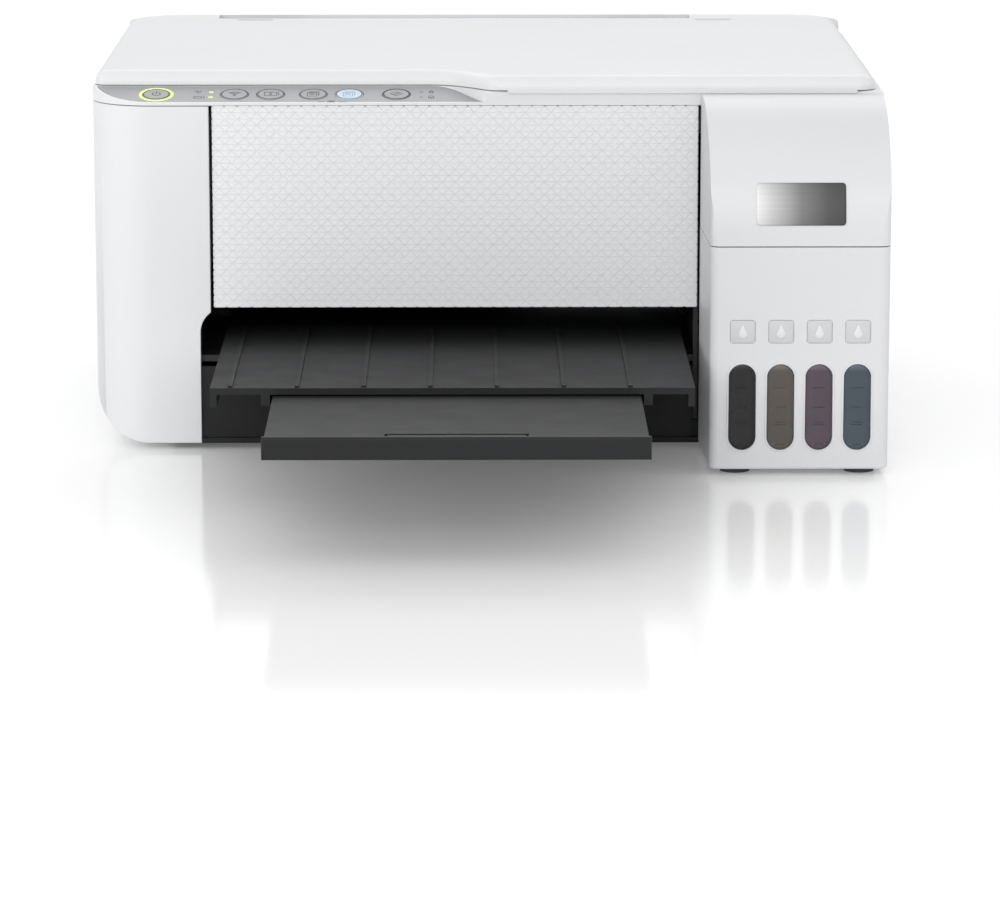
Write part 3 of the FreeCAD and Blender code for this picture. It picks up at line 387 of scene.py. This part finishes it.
def pad_of(node, material, radius, crown, name):
    """A cut pad: rounded edges, a faint crown and the slow unevenness of felt or foam."""
    low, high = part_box(node)
    bm = bmesh.new()
    block(bm, low, Vector(high) - Vector((0, 0, crown)), radius)
    for axis in (Vector((1, 0, 0)), Vector((0, 1, 0))):
        size = (Vector(high) - Vector(low)).dot(axis)
        for step in range(1, 24):
            bmesh.ops.bisect_plane(bm, geom=bm.verts[:] + bm.edges[:] + bm.faces[:], dist=1e-7,
                                   plane_co=Vector(low) + axis * size * step / 24, plane_no=axis)
    draw = random.Random(7)
    middle = (Vector(low) + Vector(high)) / 2
    for vert in bm.verts:
        u = (vert.co.x - low[0]) / (high[0] - low[0])
        v = (vert.co.y - low[1]) / (high[1] - low[1])
        if vert.co.z > middle.z:
            swell = (math.sin(math.pi * u) * math.sin(math.pi * v)) ** 0.25 if 0 < u < 1 and 0 < v < 1 else 0
            vert.co.z += crown * swell * (0.85 + 0.15 * draw.random())
    piece = object_of(name, bm, material, smooth=50)
    stand_in(piece, node)
    return piece


pad_of("waste_ink_pad", finish("pressed_felt", felt), 1.2 * MM, 0.6 * MM, "waste_felt")


# ---- electronics -------------------------------------------------------------------------
# A green main board on four posts, with black packages and a tinned USB socket; a black
# power supply and the mains inlet. Both sockets are reached through the rear cover.
def solder_mask(start):
    place = start.node("TexCoord", output="Object")
    cells = start.node("TexBrick", {"offset": 0.5}, {"Vector": place, "Scale": 90.0, "Mortar Size": 0.012,
                       "Color1": tone(0.0), "Color2": tone(0.0), "Mortar": tone(1.0)})
    tracks = start.node("SeparateColor", {}, {"Color": cells})
    return {"Base Color": tracks.mixed(tone(1.0, (0.012, 0.12, 0.05)), tone(1.0, (0.05, 0.26, 0.11))),
            "Roughness": 0.35 - tracks * 0.1}


dress("main_board", finish("circuit_board", solder_mask, Coat_Weight=0.6))
BOARD_TOP, SHELL_REAR, SHELL_SIDE = 13.7 * MM, 239.9 * MM, -100 * MM
board_mesh = frame["nodes"]["main_board"].data
board_mesh.materials.append(moulding("chip_resin", (0.02, 0.02, 0.021), 0.5, grain=900.0))
board_mesh.materials.append(steel("tinned_shell", (0.66, 0.66, 0.64), 0.32, ACROSS, 150.0))
for polygon in board_mesh.polygons:
    raised = polygon.center.z > BOARD_TOP
    socket = raised and polygon.center.y > SHELL_REAR and polygon.center.x < SHELL_SIDE
    polygon.material_index = int(raised) + int(socket)
dress("power_supply", BLACK)
dress("ac_inlet", BLACK)
inlet_low, inlet_high = (Vector(corner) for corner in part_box("ac_inlet"))
bm = bmesh.new()
for side in (-1, 1):
    pin = bmesh.ops.create_cone(bm, segments=16, radius1=1.3 * MM, radius2=1.3 * MM, depth=9 * MM,
                                cap_ends=True)["verts"]
    bmesh.ops.rotate(bm, verts=pin, matrix=Matrix.Rotation(math.pi / 2, 3, "X"))
    centre = (inlet_low + inlet_high) / 2
    bmesh.ops.translate(bm, verts=pin, vec=(centre.x + side * 4 * MM, inlet_high.y - 7.2 * MM, centre.z))
bmesh.ops.bevel(bm, geom=[e for e in bm.edges if e.calc_face_angle() > 1.0], affect="EDGES",
                offset=0.4 * MM, segments=2, profile=0.5, material=-1)
fitted(object_of("inlet_pins", bm, GROUND), "ac_inlet")

# ---- ink tank unit -----------------------------------------------------------------------
# Four natural polypropylene chambers behind a white housing; each shows through a window
# with a raised bead, under a recessed tile that carries a drop.
TANK_WHITE = moulding("tank_moulding", (0.64, 0.645, 0.66), 0.42, grain=420.0, depth=0.00009, flow=0.02,
                      brushed=(0.12, 1.0, 1.0))
softened("tank_housing", TANK_WHITE, 0.5)
softened("tank_cover", TANK_WHITE, 0.7)
dress("ink_tank_unit", moulding("natural_polypropylene", (0.66, 0.66, 0.64), 0.35, flow=0.05,
                                Subsurface_Weight=0.2))
TANK_FACE = Vector(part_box("tank_housing")[0]).y
INKS = {"black": (0.0105, 0.0105, 0.011), "yellow": (0.080, 0.069, 0.059),
        "magenta": (0.074, 0.055, 0.072), "cyan": (0.050, 0.068, 0.084)}
CAP_COLOURS = {"black": (0.03, 0.03, 0.032), "yellow": (0.85, 0.66, 0.04),
               "magenta": (0.62, 0.06, 0.27), "cyan": (0.03, 0.4, 0.66)}
WINDOW_HALF, WINDOW_LOW, WINDOW_HIGH = 6.3 * MM, 12.3 * MM, 52.7 * MM
TILE_LOW, TILE_HIGH, TILE_HALF = 62.7 * MM, 73.3 * MM, 5.75 * MM
LEVEL_MARKS = ((41.6, 2.9), (32.5, 2.6), (25.4, 2.6), (24.2, 2.6), (15.0, 3.4))


def pill(bm, x, half, low, high, y):
    """Adds an upright slot outline with round ends, as one face looking forward."""
    ring = bmesh.ops.create_circle(bm, segments=40, radius=half, cap_ends=True)["verts"]
    bmesh.ops.rotate(bm, verts=ring, matrix=Matrix.Rotation(math.pi / 2, 3, "X"))
    for vert in ring:
        vert.co.z += high - half if vert.co.z > 0 else low + half
    bmesh.ops.translate(bm, verts=ring, vec=(x, y, 0))
    face = ring[0].link_faces[0]
    if face.normal.y > 0:
        face.normal_flip()
    face.normal_update()
    return face


def stepped(bm, face, steps):
    """Insets one face again and again; each step is a width and a rise along its normal."""
    for width, rise in steps:
        bmesh.ops.inset_region(bm, faces=[face], thickness=width, depth=rise, use_boundary=True,
                               use_even_offset=True)
    return face


def ink_view(colour):
    """Ink behind a cloudy wall, with a painted highlight: the ink is lighter in a band at the top of the
    window.
    """

    def make(start):
        place = start.node("SeparateXYZ", {}, {"Vector": start.node("TexCoord", output="Object")}, output=2)
        # painted highlight: mask for a lighter band at the top of the window
        level = place.eased(WINDOW_HIGH - 3.5 * MM, WINDOW_HIGH - 1.5 * MM)
        cloud = noise(start, 70.0, 2.0)
        ink = cloud.mixed(tone(0.86, colour), tone(1.12, colour))
        return {"Base Color": level.mixed(ink, tone(1.7, colour)),
                "Roughness": cloud * 0.1 + 0.22}

    return make


for ink, colour in INKS.items():
    cap_low, cap_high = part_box("tank_cap_" + ink)
    x = (cap_low[0] + cap_high[0]) / 2
    dress("tank_cap_" + ink, moulding("cap_" + ink, CAP_COLOURS[ink], 0.4))
    bm = bmesh.new()
    face = pill(bm, x, WINDOW_HALF, WINDOW_LOW, WINDOW_HIGH, TANK_FACE + 0.45 * MM)
    stepped(bm, face, [(0.01 * MM, 0.15 * MM), (0.45 * MM, 0.16 * MM), (1.6 * MM, 0.12 * MM)])
    # painted shade: the window's slanted rim takes the ink colour at 0.45, darker than the window's face
    edge = moulding("window_edge_" + ink, tuple(c * 0.45 for c in colour), 0.3)
    lens = object_of("ink_window_" + ink, bm, finish("ink_" + ink, ink_view(colour), Specular_IOR_Level=0.3))
    lens.data.materials.append(edge)
    for polygon in lens.data.polygons:
        polygon.material_index = int(polygon.normal.y > -0.985)
    fitted(lens, "tank_housing")
    bm = bmesh.new()
    for z, half in LEVEL_MARKS:
        block(bm, (x - half * MM, TANK_FACE + 0.02 * MM, (z - 0.13) * MM),
              (x + half * MM, TANK_FACE + 0.2 * MM, (z + 0.13) * MM), 0.05 * MM)
    arrow = bmesh.ops.create_circle(bm, segments=3, radius=1.1 * MM, cap_ends=True)["verts"]
    bmesh.ops.rotate(bm, verts=arrow, matrix=Matrix.Rotation(math.pi / 2, 3, "X"))
    bmesh.ops.translate(bm, verts=arrow, vec=(x, TANK_FACE + 0.03 * MM, 18.3 * MM))
    level = moulding("level_" + ink, tuple(c * 1.9 for c in colour), 0.35)
    fitted(object_of("level_marks_" + ink, bm, level), "tank_housing")
    bm = bmesh.new()
    face = pill(bm, x, 7.35 * MM, WINDOW_LOW - 1.05 * MM, WINDOW_HIGH + 1.05 * MM, TANK_FACE + 0.1 * MM)
    stepped(bm, face, [(0.2 * MM, 0.45 * MM), (0.3 * MM, 0.12 * MM), (0.35 * MM, -0.05 * MM),
                       (0.2 * MM, -0.6 * MM)])
    bmesh.ops.delete(bm, geom=[face], context="FACES_ONLY")
    fitted(object_of("window_bead_" + ink, bm, TANK_WHITE), "tank_housing")

    bm = bmesh.new()
    block(bm, (x - TILE_HALF, TANK_FACE + 0.25 * MM, TILE_LOW),
          (x + TILE_HALF, TANK_FACE + 0.9 * MM, TILE_HIGH), 0.2 * MM)
    fitted(object_of("label_tile_" + ink, bm, moulding("tile_" + ink, (0.56, 0.565, 0.58), 0.45)),
           "tank_housing")
    bm = bmesh.new()
    drop = bmesh.ops.create_circle(bm, segments=28, radius=2.1 * MM, cap_ends=True)["verts"]
    for vert in drop:
        if vert.co.y > 0:
            lift = vert.co.y / (2.1 * MM)
            vert.co.x *= 1.0 - 0.55 * lift
            vert.co.y += 1.9 * MM * lift ** 2
    bmesh.ops.rotate(bm, verts=drop, matrix=Matrix.Rotation(math.pi / 2, 3, "X"))
    bmesh.ops.translate(bm, verts=drop, vec=(x, TANK_FACE + 0.25 * MM, (TILE_LOW + TILE_HIGH) / 2 - 0.9 * MM))
    face = bm.faces[:][0]
    if face.normal.y > 0:
        face.normal_flip()
    stepped(bm, face, [(0.01 * MM, 0.2 * MM), (0.2 * MM, 0.12 * MM)])
    fitted(object_of("drop_mark_" + ink, bm, WHITE), "tank_housing")

# ---- badge -------------------------------------------------------------------------------
# A thin plate of brushed metal, pressed to the curve of the ink cover and held by adhesive; a painted
# reflection runs across it, light at the left and dark at the right.
BADGE_LEFT, BADGE_RIGHT, BADGE_LOW, BADGE_HIGH = 124.2 * MM, 165.4 * MM, 117.6 * MM, 136.7 * MM
COVER_CENTRE = Vector((0, -22.5 * MM, 113.5 * MM))
COVER_RADIUS = 57.5 * MM


def badge_metal(start):
    place = start.node("SeparateXYZ", {}, {"Vector": start.node("TexCoord", output="Object")})
    across = start.node("MapRange", {}, {"Value": place, "From Min": BADGE_LEFT,
                                         "From Max": BADGE_RIGHT})
    lines = noise(start, 700.0, 3.0, (0.02, 1.0, 1.0))
    # painted reflection: the plate's colour falls from light at its left end to dark at its right end
    painted_reflection = start.node("ValToRGB", {"stops": [(0.0, tone(0.72)), (0.18, tone(0.50)), (0.5, tone(0.19)),
                                              (0.8, tone(0.085)), (1.0, tone(0.065))]}, {"Fac": across})
    return {"Base Color": start.node("Mix", {"data_type": "RGBA", "blend_type": "MULTIPLY"},
                                     {0: 0.25, 6: painted_reflection, 7: lines}, output=2),
            "Roughness": lines * 0.15 + 0.42, "Normal": bump(start, lines, 0.00002, 0.4)}


bm = bmesh.new()
arc_low = math.asin((BADGE_LOW - COVER_CENTRE.z) / COVER_RADIUS) * COVER_RADIUS
arc_high = math.asin((BADGE_HIGH - COVER_CENTRE.z) / COVER_RADIUS) * COVER_RADIUS
flat = [bm.verts.new(co) for co in ((BADGE_LEFT, 0, arc_low), (BADGE_RIGHT, 0, arc_low),
                                    (BADGE_RIGHT, 0, arc_high), (BADGE_LEFT, 0, arc_high))]
bm.faces.new(flat)
bmesh.ops.bevel(bm, geom=flat, affect="VERTICES", offset=1.6 * MM, segments=5, profile=0.5, material=-1)
bm.faces.ensure_lookup_table()
bm.faces[0].normal_update()
if bm.faces[0].normal.y > 0:
    bm.faces[0].normal_flip()
stepped(bm, bm.faces[0], [(0.01 * MM, 0.45 * MM), (0.25 * MM, 0.15 * MM), (0.5 * MM, 0.0)])
for step in range(1, 20):
    height = arc_low + (arc_high - arc_low) * step / 20
    bmesh.ops.bisect_plane(bm, geom=bm.verts[:] + bm.edges[:] + bm.faces[:], dist=1e-7,
                           plane_co=(0, 0, height), plane_no=(0, 0, 1))
for vert in bm.verts:
    turn = vert.co.z / COVER_RADIUS
    radius = COVER_RADIUS - 0.1 * MM - vert.co.y
    vert.co.y = COVER_CENTRE.y - radius * math.cos(turn)
    vert.co.z = COVER_CENTRE.z + radius * math.sin(turn)
fitted(object_of("cover_badge", bm, finish("badge_metal", badge_metal, Metallic=0.6)), "tank_cover")

# ---- rear feeder -------------------------------------------------------------------------
# Sheets stand in a leaning hopper behind the scanner, between two edge guides; the support
# pulls up in two stages, and a flap closes the slot.
GREY = moulding("grey_moulding", (0.40, 0.41, 0.42), 0.45)
dress("feeder_housing", WHITE)
for node in ("paper_support", "feeder_guard"):
    softened(node, WHITE)
for node in ("edge_guide_left", "edge_guide_right", "support_extension"):
    softened(node, GREY)

# ---- output tray -------------------------------------------------------------------------
# A ribbed dark tray slides out of the throat on two rails. Its extension slides out further
# and carries a stop at the front, which folds flat into it.
for node in ("output_tray", "tray_extension", "tray_stopper"):
    softened(node, DARK, 0.3)

# ---- scanner -----------------------------------------------------------------------------
# A white housing hinged at the rear holds the glass, the lamp bar on its rail and the film
# that carries the keys.
softened("scanner_housing", WHITE, 0.25)
dress("scan_head", BLACK)


def plate_glass(start):
    smear = noise(start, 14.0, 4.0)
    return {"Roughness": smear.eased(0.4, 0.8) * 0.05 + 0.01}


dress("scanner_glass", finish("plate_glass", plate_glass, Base_Color=(0.86, 0.93, 0.9, 1.0),
                              Transmission_Weight=1.0, IOR=1.5))

# ---- front panel -------------------------------------------------------------------------
# The panel under the keys is moulded with a lattice of right-angled triangles, each a small
# raised pad between fine grooves; it hangs from the scanner on three ribs.
panel_low, panel_high = (Vector(corner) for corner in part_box("front_panel"))
PANEL_FRONT, PANEL_BACK = panel_low.y, panel_low.y + 2.7 * MM
GROOVE_DEPTH, GROOVE_HALF, PANEL_RIM = 0.25 * MM, 0.2 * MM, 0.4 * MM
NODES_ACROSS, ROWS = 38, 32
centre = (panel_low + panel_high) / 2
wide, tall = panel_high.x - panel_low.x, panel_high.z - panel_low.z
node_step = (wide - 2 * PANEL_RIM) / NODES_ACROSS
row_step = (tall - 2 * PANEL_RIM) / ROWS
bm = bmesh.new()
cells = NODES_ACROSS + ROWS // 2 + 2
bmesh.ops.create_grid(bm, x_segments=cells, y_segments=cells, size=cells / 2)
bmesh.ops.rotate(bm, verts=bm.verts, matrix=Matrix.Rotation(math.pi / 4, 3, "Z"))
bmesh.ops.rotate(bm, verts=bm.verts, matrix=Matrix.Rotation(math.pi / 2, 3, "X"))
bmesh.ops.scale(bm, verts=bm.verts, vec=(node_step / math.sqrt(2), 1.0, row_step * math.sqrt(2)))
bmesh.ops.translate(bm, verts=bm.verts, vec=(centre.x, PANEL_FRONT + GROOVE_DEPTH, centre.z))
for edge, away in ((panel_low.x + PANEL_RIM, (-1, 0, 0)), (panel_high.x - PANEL_RIM, (1, 0, 0)),
                   (panel_low.z + PANEL_RIM, (0, 0, -1)), (panel_high.z - PANEL_RIM, (0, 0, 1))):
    away = Vector(away)
    bmesh.ops.bisect_plane(bm, geom=bm.verts[:] + bm.edges[:] + bm.faces[:], dist=1e-6,
                           plane_co=Vector((abs(away.x), 0, abs(away.z))) * edge, plane_no=away,
                           clear_outer=True)
for row in range(1, ROWS):
    height = panel_low.z + PANEL_RIM + row * row_step
    bmesh.ops.bisect_plane(bm, geom=bm.verts[:] + bm.edges[:] + bm.faces[:], dist=1e-6,
                           plane_co=(0, 0, height), plane_no=(0, 0, 1))
if bm.faces[:][0].normal.y > 0:
    bmesh.ops.reverse_faces(bm, faces=bm.faces)
rim = [e for e in bm.edges if e.is_boundary]
bmesh.ops.inset_individual(bm, faces=bm.faces[:], thickness=GROOVE_HALF, depth=GROOVE_DEPTH,
                           use_even_offset=True)


def grown(bm, edges, move, factor=(1.0, 1.0, 1.0)):
    """Extrudes a border loop, moves it and stretches it about the panel's middle."""
    made = bmesh.ops.extrude_edge_only(bm, edges=edges)["geom"]
    verts = [v for v in made if isinstance(v, bmesh.types.BMVert)]
    bmesh.ops.translate(bm, verts=verts, vec=move)
    bmesh.ops.scale(bm, verts=verts, vec=factor, space=Matrix.Translation(-centre))
    return [e for e in made if isinstance(e, bmesh.types.BMEdge)]


rim = grown(bm, rim, (0, -GROOVE_DEPTH, 0))
rim = grown(bm, rim, (0, 0.3 * MM, 0), (wide / (wide - 2 * PANEL_RIM), 1.0, tall / (tall - 2 * PANEL_RIM)))
rim = grown(bm, rim, (0, PANEL_BACK - PANEL_FRONT - 0.3 * MM, 0))
bmesh.ops.edgeloop_fill(bm, edges=rim)
bmesh.ops.recalc_face_normals(bm, faces=bm.faces)
RIB_IN, RIB_OUT, SILL, RIB_FOOT, RIB_TOP = 8 * MM, 6 * MM, 74 * MM, 76 * MM, 160 * MM
for low, high in (((panel_low.x + RIB_OUT, RIB_FOOT), (panel_low.x + RIB_IN, RIB_TOP)),
                  ((panel_high.x - RIB_IN, RIB_FOOT), (panel_high.x - RIB_OUT, RIB_TOP)),
                  ((panel_low.x + RIB_OUT, SILL), (panel_high.x - RIB_OUT, RIB_FOOT))):
    block(bm, (low[0], PANEL_BACK - 0.1 * MM, low[1]), (high[0], PANEL_FRONT + 9 * MM, high[1]), 0.3 * MM)
stand_in(object_of("lattice_panel", bm, moulding("panel_moulding", (0.745, 0.75, 0.76), 0.42, flow=0.01),
                   smooth=20), "front_panel")

# ---- control strip -----------------------------------------------------------------------
# A grey film lies in the sloping front edge of the scanner. Six soft keys stand in it, the
# power key in a lit ring; every sign is printed in dark ink, but for the blue copy key.
STRIP = moulding("strip_film", (0.30, 0.305, 0.32), 0.4, flow=0.02)
PRINT = moulding("dark_print", (0.03, 0.031, 0.034), 0.5)
STRIP_TILT = math.radians(15)
STRIP_FRONT, STRIP_HEIGHT, STRIP_DEPTH = -15.4 * MM, 166.6 * MM, 20.6 * MM
STRIP_PLACE = Matrix.Translation((0, STRIP_FRONT, STRIP_HEIGHT)) @ Matrix.Rotation(STRIP_TILT, 4, "X")
KEY_V, KEY_R, KEY_RISE = 10.0, 6.6, 0.3
KEYS = ("power", "wifi", "status", "copy_mono", "copy_color", "stop")
dress("control_panel", STRIP)


def bow(x, y, radius, start=0, stop=360, steps=28):
    """Points along an arc, in millimetres, angles in degrees from +X."""
    turns = [math.radians(start + (stop - start) * i / steps) for i in range(steps + 1)]
    return [(x + radius * math.cos(a), y + radius * math.sin(a)) for a in turns]


def frame_line(x, y, width, height):
    """A closed rectangle round a middle."""
    w, h = width / 2, height / 2
    return [(x - w, y - h), (x + w, y - h), (x + w, y + h), (x - w, y + h), (x - w, y - h)]


def printed(name, strokes, width, rise, material, node):
    """Printed lines on the strip: strokes in its own plane, flattened onto its surface."""
    curve = bpy.data.curves.new(name, "CURVE")
    curve.dimensions = "3D"
    curve.bevel_depth = width / 2 * MM
    curve.bevel_resolution = 1
    curve.use_fill_caps = True
    for stroke in strokes:
        closed = math.dist(stroke[0], stroke[-1]) < 1e-6
        points = stroke[:-1] if closed else stroke
        line = curve.splines.new("POLY")
        line.points.add(len(points) - 1)
        for point, (x, y) in zip(line.points, points):
            point.co = (x * MM, y * MM, 0, 1)
        line.use_cyclic_u = closed
    drawn = bpy.data.objects.new(name, curve)
    mesh = bpy.data.meshes.new_from_object(drawn)
    bpy.data.objects.remove(drawn)
    mesh.transform(STRIP_PLACE @ Matrix.Translation((0, 0, rise * MM)) @ Matrix.Diagonal((1, 1, 0.22, 1)))
    mesh.materials.clear()
    mesh.materials.append(material)
    piece = bpy.data.objects.new(name, mesh)
    bpy.context.scene.collection.objects.link(piece)
    return fitted(piece, node)


def two_sheets(x, y):
    """A printed sheet in front of another."""
    return [frame_line(x - 0.6, y - 0.6, 4.4, 4.6),
            [(x - 2, y + 2.6), (x + 2.6, y + 2.6), (x + 2.6, y - 2.0)],
            [(x - 1.9, y + 0.5), (x + 0.7, y + 0.5)],
            [(x - 1.9, y - 1.0), (x + 0.7, y - 1.0)]]


signs = {
    "power": lambda x, y: [bow(x, y, 1.9, 120, 420), [(x, y + 0.4), (x, y + 2.7)]],
    "wifi": lambda x, y: [bow(x, y - 1.8, 0.35)] + [bow(x, y - 1.8, r, 45, 135, 10) for r in (1.6, 2.9, 4.2)],
    "status": lambda x, y: [frame_line(x - 1.6, y, 2.6, 4.2), frame_line(x + 1.6, y, 2.6, 4.2),
                            [(x + 3.6, y + 2.2), (x + 3.6, y - 1.2), (x + 4.4, y - 0.4)]],
    "copy_mono": two_sheets,
    "copy_color": two_sheets,
    "stop": lambda x, y: [[(x, y - 2.3), (x + 2.9, y), (x, y + 2.3), (x - 2.9, y), (x, y - 2.3)],
                          [(x - 1.2, y - 1.0), (x + 1.2, y + 1.0)]],
}
BLUE_KEY = moulding("copy_color_film", (0.50, 0.60, 0.70), 0.32, flow=0.02)
BLUE_PRINT = moulding("blue_print", (0.16, 0.36, 0.58), 0.5)
for key in KEYS:
    node = "button_" + key
    key_low, key_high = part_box(node)
    x = (key_low[0] + key_high[0]) / 2 / MM
    bm = bmesh.new()
    bmesh.ops.create_circle(bm, segments=48, radius=KEY_R * MM, cap_ends=True)
    face = bm.faces[:][0]
    if face.normal.z < 0:
        face.normal_flip()
    bmesh.ops.translate(bm, verts=bm.verts, vec=(x * MM, KEY_V * MM, -1.5 * MM))
    stepped(bm, face, [(0.001 * MM, 1.55 * MM), (0.1 * MM, 0.15 * MM), (0.25 * MM, 0.07 * MM),
                       (2.2 * MM, 0.02 * MM), (1.8 * MM, 0.01 * MM)])
    bmesh.ops.transform(bm, verts=bm.verts, matrix=STRIP_PLACE)
    stand_in(object_of("key_" + key, bm, BLUE_KEY if key == "copy_color" else STRIP, smooth=40), node)
    printed("key_outline_" + key, [bow(x, KEY_V, KEY_R - 0.5, steps=48)],
            0.5 if key != "stop" else 0.75, KEY_RISE, PRINT, node)
    printed("key_sign_" + key, signs[key](x, KEY_V), 0.46, KEY_RISE + 0.03,
            BLUE_PRINT if key == "copy_color" else PRINT, node)


def lamp(start):
    glow = noise(start, 300.0, 1.0)
    return {"Base Color": glow.mixed(tone(0.8, (0.62, 0.85, 0.2)), tone(0.9, (0.75, 0.95, 0.3)))}


LIT = finish("lit_ring", lamp, Emission_Color=(0.50, 0.78, 0.08, 1.0), Emission_Strength=0.75, Roughness=0.4)
power_low, power_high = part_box("button_power")
POWER_X = (power_low[0] + power_high[0]) / 2 / MM
printed("power_ring", [bow(POWER_X, KEY_V, 7.5, steps=56)], 1.5, 0.02, LIT, "control_panel")
printed("status_lamps", [[(-131.2, v), (-129.2, v)] for v in (12.8, 6.5)], 1.5, 0.05, LIT, "control_panel")
printed("strip_signs", [bow(-136.4, 12.6, 1.5, 20, 160, 10), bow(-136.4, 12.0, 0.3),
                        frame_line(-136.4, 6.4, 3.6, 2.2),
                        [(-133.9, 7.5), (-132.9, 6.4), (-133.9, 5.3)],
                        [(-79.0, 1.4), (-79.0, 0.7), (-76.2, 0.7)],
                        [(-70.0, 0.7), (-66.5, 0.7), (-66.5, 1.4)],
                        frame_line(-73.1, 1.2, 3.2, 1.6), [(-73.9, 1.2), (-72.3, 1.2)],
                        [(-31.6, 13.0), (-29.8, 13.0)], [(-31.6, 6.6), (-29.8, 6.6)],
                        bow(-26.0, 12.6, 1.0), [(-26.9, 13.2), (-26.0, 14.6), (-25.1, 13.2)],
                        frame_line(-26.0, 6.6, 2.4, 2.6), [(-26.6, 6.0), (-25.4, 6.0)]],
        0.44, 0.03, PRINT, "control_panel")

# ---- document cover ----------------------------------------------------------------------
# A thick white lid, moulded hollow, with fully rounded edges. Its front lip hangs over the
# scanner's rim, and sweeps back round the control strip; a foam pad inside presses the sheet.
lid_low, lid_high = (Vector(corner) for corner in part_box("document_cover"))
STRIP_REAR = STRIP_FRONT + STRIP_DEPTH * math.cos(STRIP_TILT)
STRIP_CLEAR = 1.5 * MM
LID_ROUND = 5.6 * MM
NOTCH_IN, NOTCH_OUT, NOTCH_FRONT = 113.5 * MM, 126.5 * MM, 231.5 * MM
bend = [Vector((-29 * MM + STRIP_CLEAR, STRIP_REAR + STRIP_CLEAR, 0)),
        Vector((-18 * MM + STRIP_CLEAR, STRIP_REAR + STRIP_CLEAR, 0)),
        Vector((-12 * MM + STRIP_CLEAR, -2.2 * MM + STRIP_CLEAR, 0)),
        Vector((0.6 * MM + STRIP_CLEAR, lid_low.y, 0))]
sweep = interpolate_bezier(*bend, 22)[:-4]
lip_start = bend[3] + Vector((8 * MM, 0, 0))
sweep += interpolate_bezier(sweep.pop(), bend[3], bend[3], lip_start, 9)
plan = [(lid_low.x, STRIP_REAR + STRIP_CLEAR)] + [(p.x, p.y) for p in sweep]
front_right = len(plan)
plan += [(lid_high.x, lid_low.y), (lid_high.x, lid_high.y)]
for side in (1, -1):
    notch = [(side * NOTCH_OUT, lid_high.y), (side * NOTCH_OUT, NOTCH_FRONT),
             (side * NOTCH_IN, NOTCH_FRONT), (side * NOTCH_IN, lid_high.y)]
    plan += notch if side > 0 else notch[::-1]
plan += [(lid_low.x, lid_high.y)]
bm = bmesh.new()
rim = [bm.verts.new((x, y, lid_low.z)) for x, y in plan]
bm.faces.new(rim)
corners = {0: 6.5, front_right: 9.0, front_right + 1: 9.0, len(plan) - 1: 9.0}
for index, radius in sorted(corners.items(), reverse=True):
    bmesh.ops.bevel(bm, geom=[rim[index]], affect="VERTICES", offset=radius * MM, segments=8,
                    profile=0.5, material=-1)
lid_face = bm.faces[:][0]
lid_face.normal_update()
if lid_face.normal.z > 0:
    lid_face.normal_flip()
made = bmesh.ops.extrude_face_region(bm, geom=[lid_face], use_keep_orig=True)["geom"]
top = next(f for f in made if isinstance(f, bmesh.types.BMFace))
bmesh.ops.translate(bm, verts=top.verts[:], vec=(0, 0, lid_high.z - lid_low.z - LID_ROUND))
top.normal_update()
if top.normal.z < 0:
    top.normal_flip()
quarter = [math.pi / 2 * step / 8 for step in range(9)]
stepped(bm, top, [(LID_ROUND * (math.cos(a) - math.cos(b)), LID_ROUND * (math.sin(b) - math.sin(a)))
                  for a, b in zip(quarter, quarter[1:])])


def underside(low=(-1, -1), high=(1, 1)):
    """The faces of the lid's lower rim whose middles lie between two corners in plan."""
    middles = [(f, f.calc_center_median()) for f in bm.faces]
    return [f for f, m in middles if m.z < lid_low.z + 0.01 * MM
            and low[0] < m.x < high[0] and low[1] < m.y < high[1]]


LIP_THICK, LIP_DROP = 0.6 * MM, 1.5 * MM
hollow_low, hollow_high = Vector((-178 * MM, 22 * MM, 0)), Vector((178 * MM, 226 * MM, 0))
lip_end = Vector((lid_high.x - 9 * MM, lid_low.y + LIP_THICK, 0))
for corner, axis in ((hollow_low, (1, 0, 0)), (hollow_low, (0, 1, 0)), (hollow_high, (1, 0, 0)),
                     (hollow_high, (0, 1, 0)), (lip_end, (1, 0, 0)), (lip_end, (0, 1, 0)),
                     (lip_start, (1, 0, 0))):
    faces = underside()
    geom = faces + list({e for f in faces for e in f.edges}) + list({v for f in faces for v in f.verts})
    bmesh.ops.bisect_plane(bm, geom=geom, dist=1e-7, plane_co=corner, plane_no=axis)
for bed, shift in ((underside(hollow_low, hollow_high), 4.0 * MM),
                   (underside(lip_start - Vector((0, MM, 0)), lip_end), -LIP_DROP)):
    made = bmesh.ops.extrude_face_region(bm, geom=bed)["geom"]
    moved = [v for v in made if isinstance(v, bmesh.types.BMVert)]
    bmesh.ops.translate(bm, verts=moved, vec=(0, 0, shift))
bmesh.ops.recalc_face_normals(bm, faces=bm.faces)
for side in (-1, 1):
    pin = bmesh.ops.create_cone(bm, segments=20, radius1=1.5 * MM, radius2=1.5 * MM, depth=15 * MM,
                                cap_ends=True)["verts"]
    bmesh.ops.rotate(bm, verts=pin, matrix=Matrix.Rotation(math.pi / 2, 3, "Y"))
    bmesh.ops.translate(bm, verts=pin, vec=(side * 120 * MM, 236.5 * MM, 174 * MM))
stand_in(object_of("lid_shell", bm, WHITE, smooth=30), "document_cover")


def foam_skin(start):
    pores = noise(start, 1500.0, 5.0)
    return {"Base Color": pores.mixed(tone(0.78), tone(0.84)), "Roughness": pores * 0.1 + 0.6,
            "Normal": bump(start, pores + noise(start, 90.0, 3.0), 0.0001)}


pad_of("lid_pad", finish("pad_film", foam_skin), 1.0 * MM, 0.0, "scan_pad")

low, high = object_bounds()
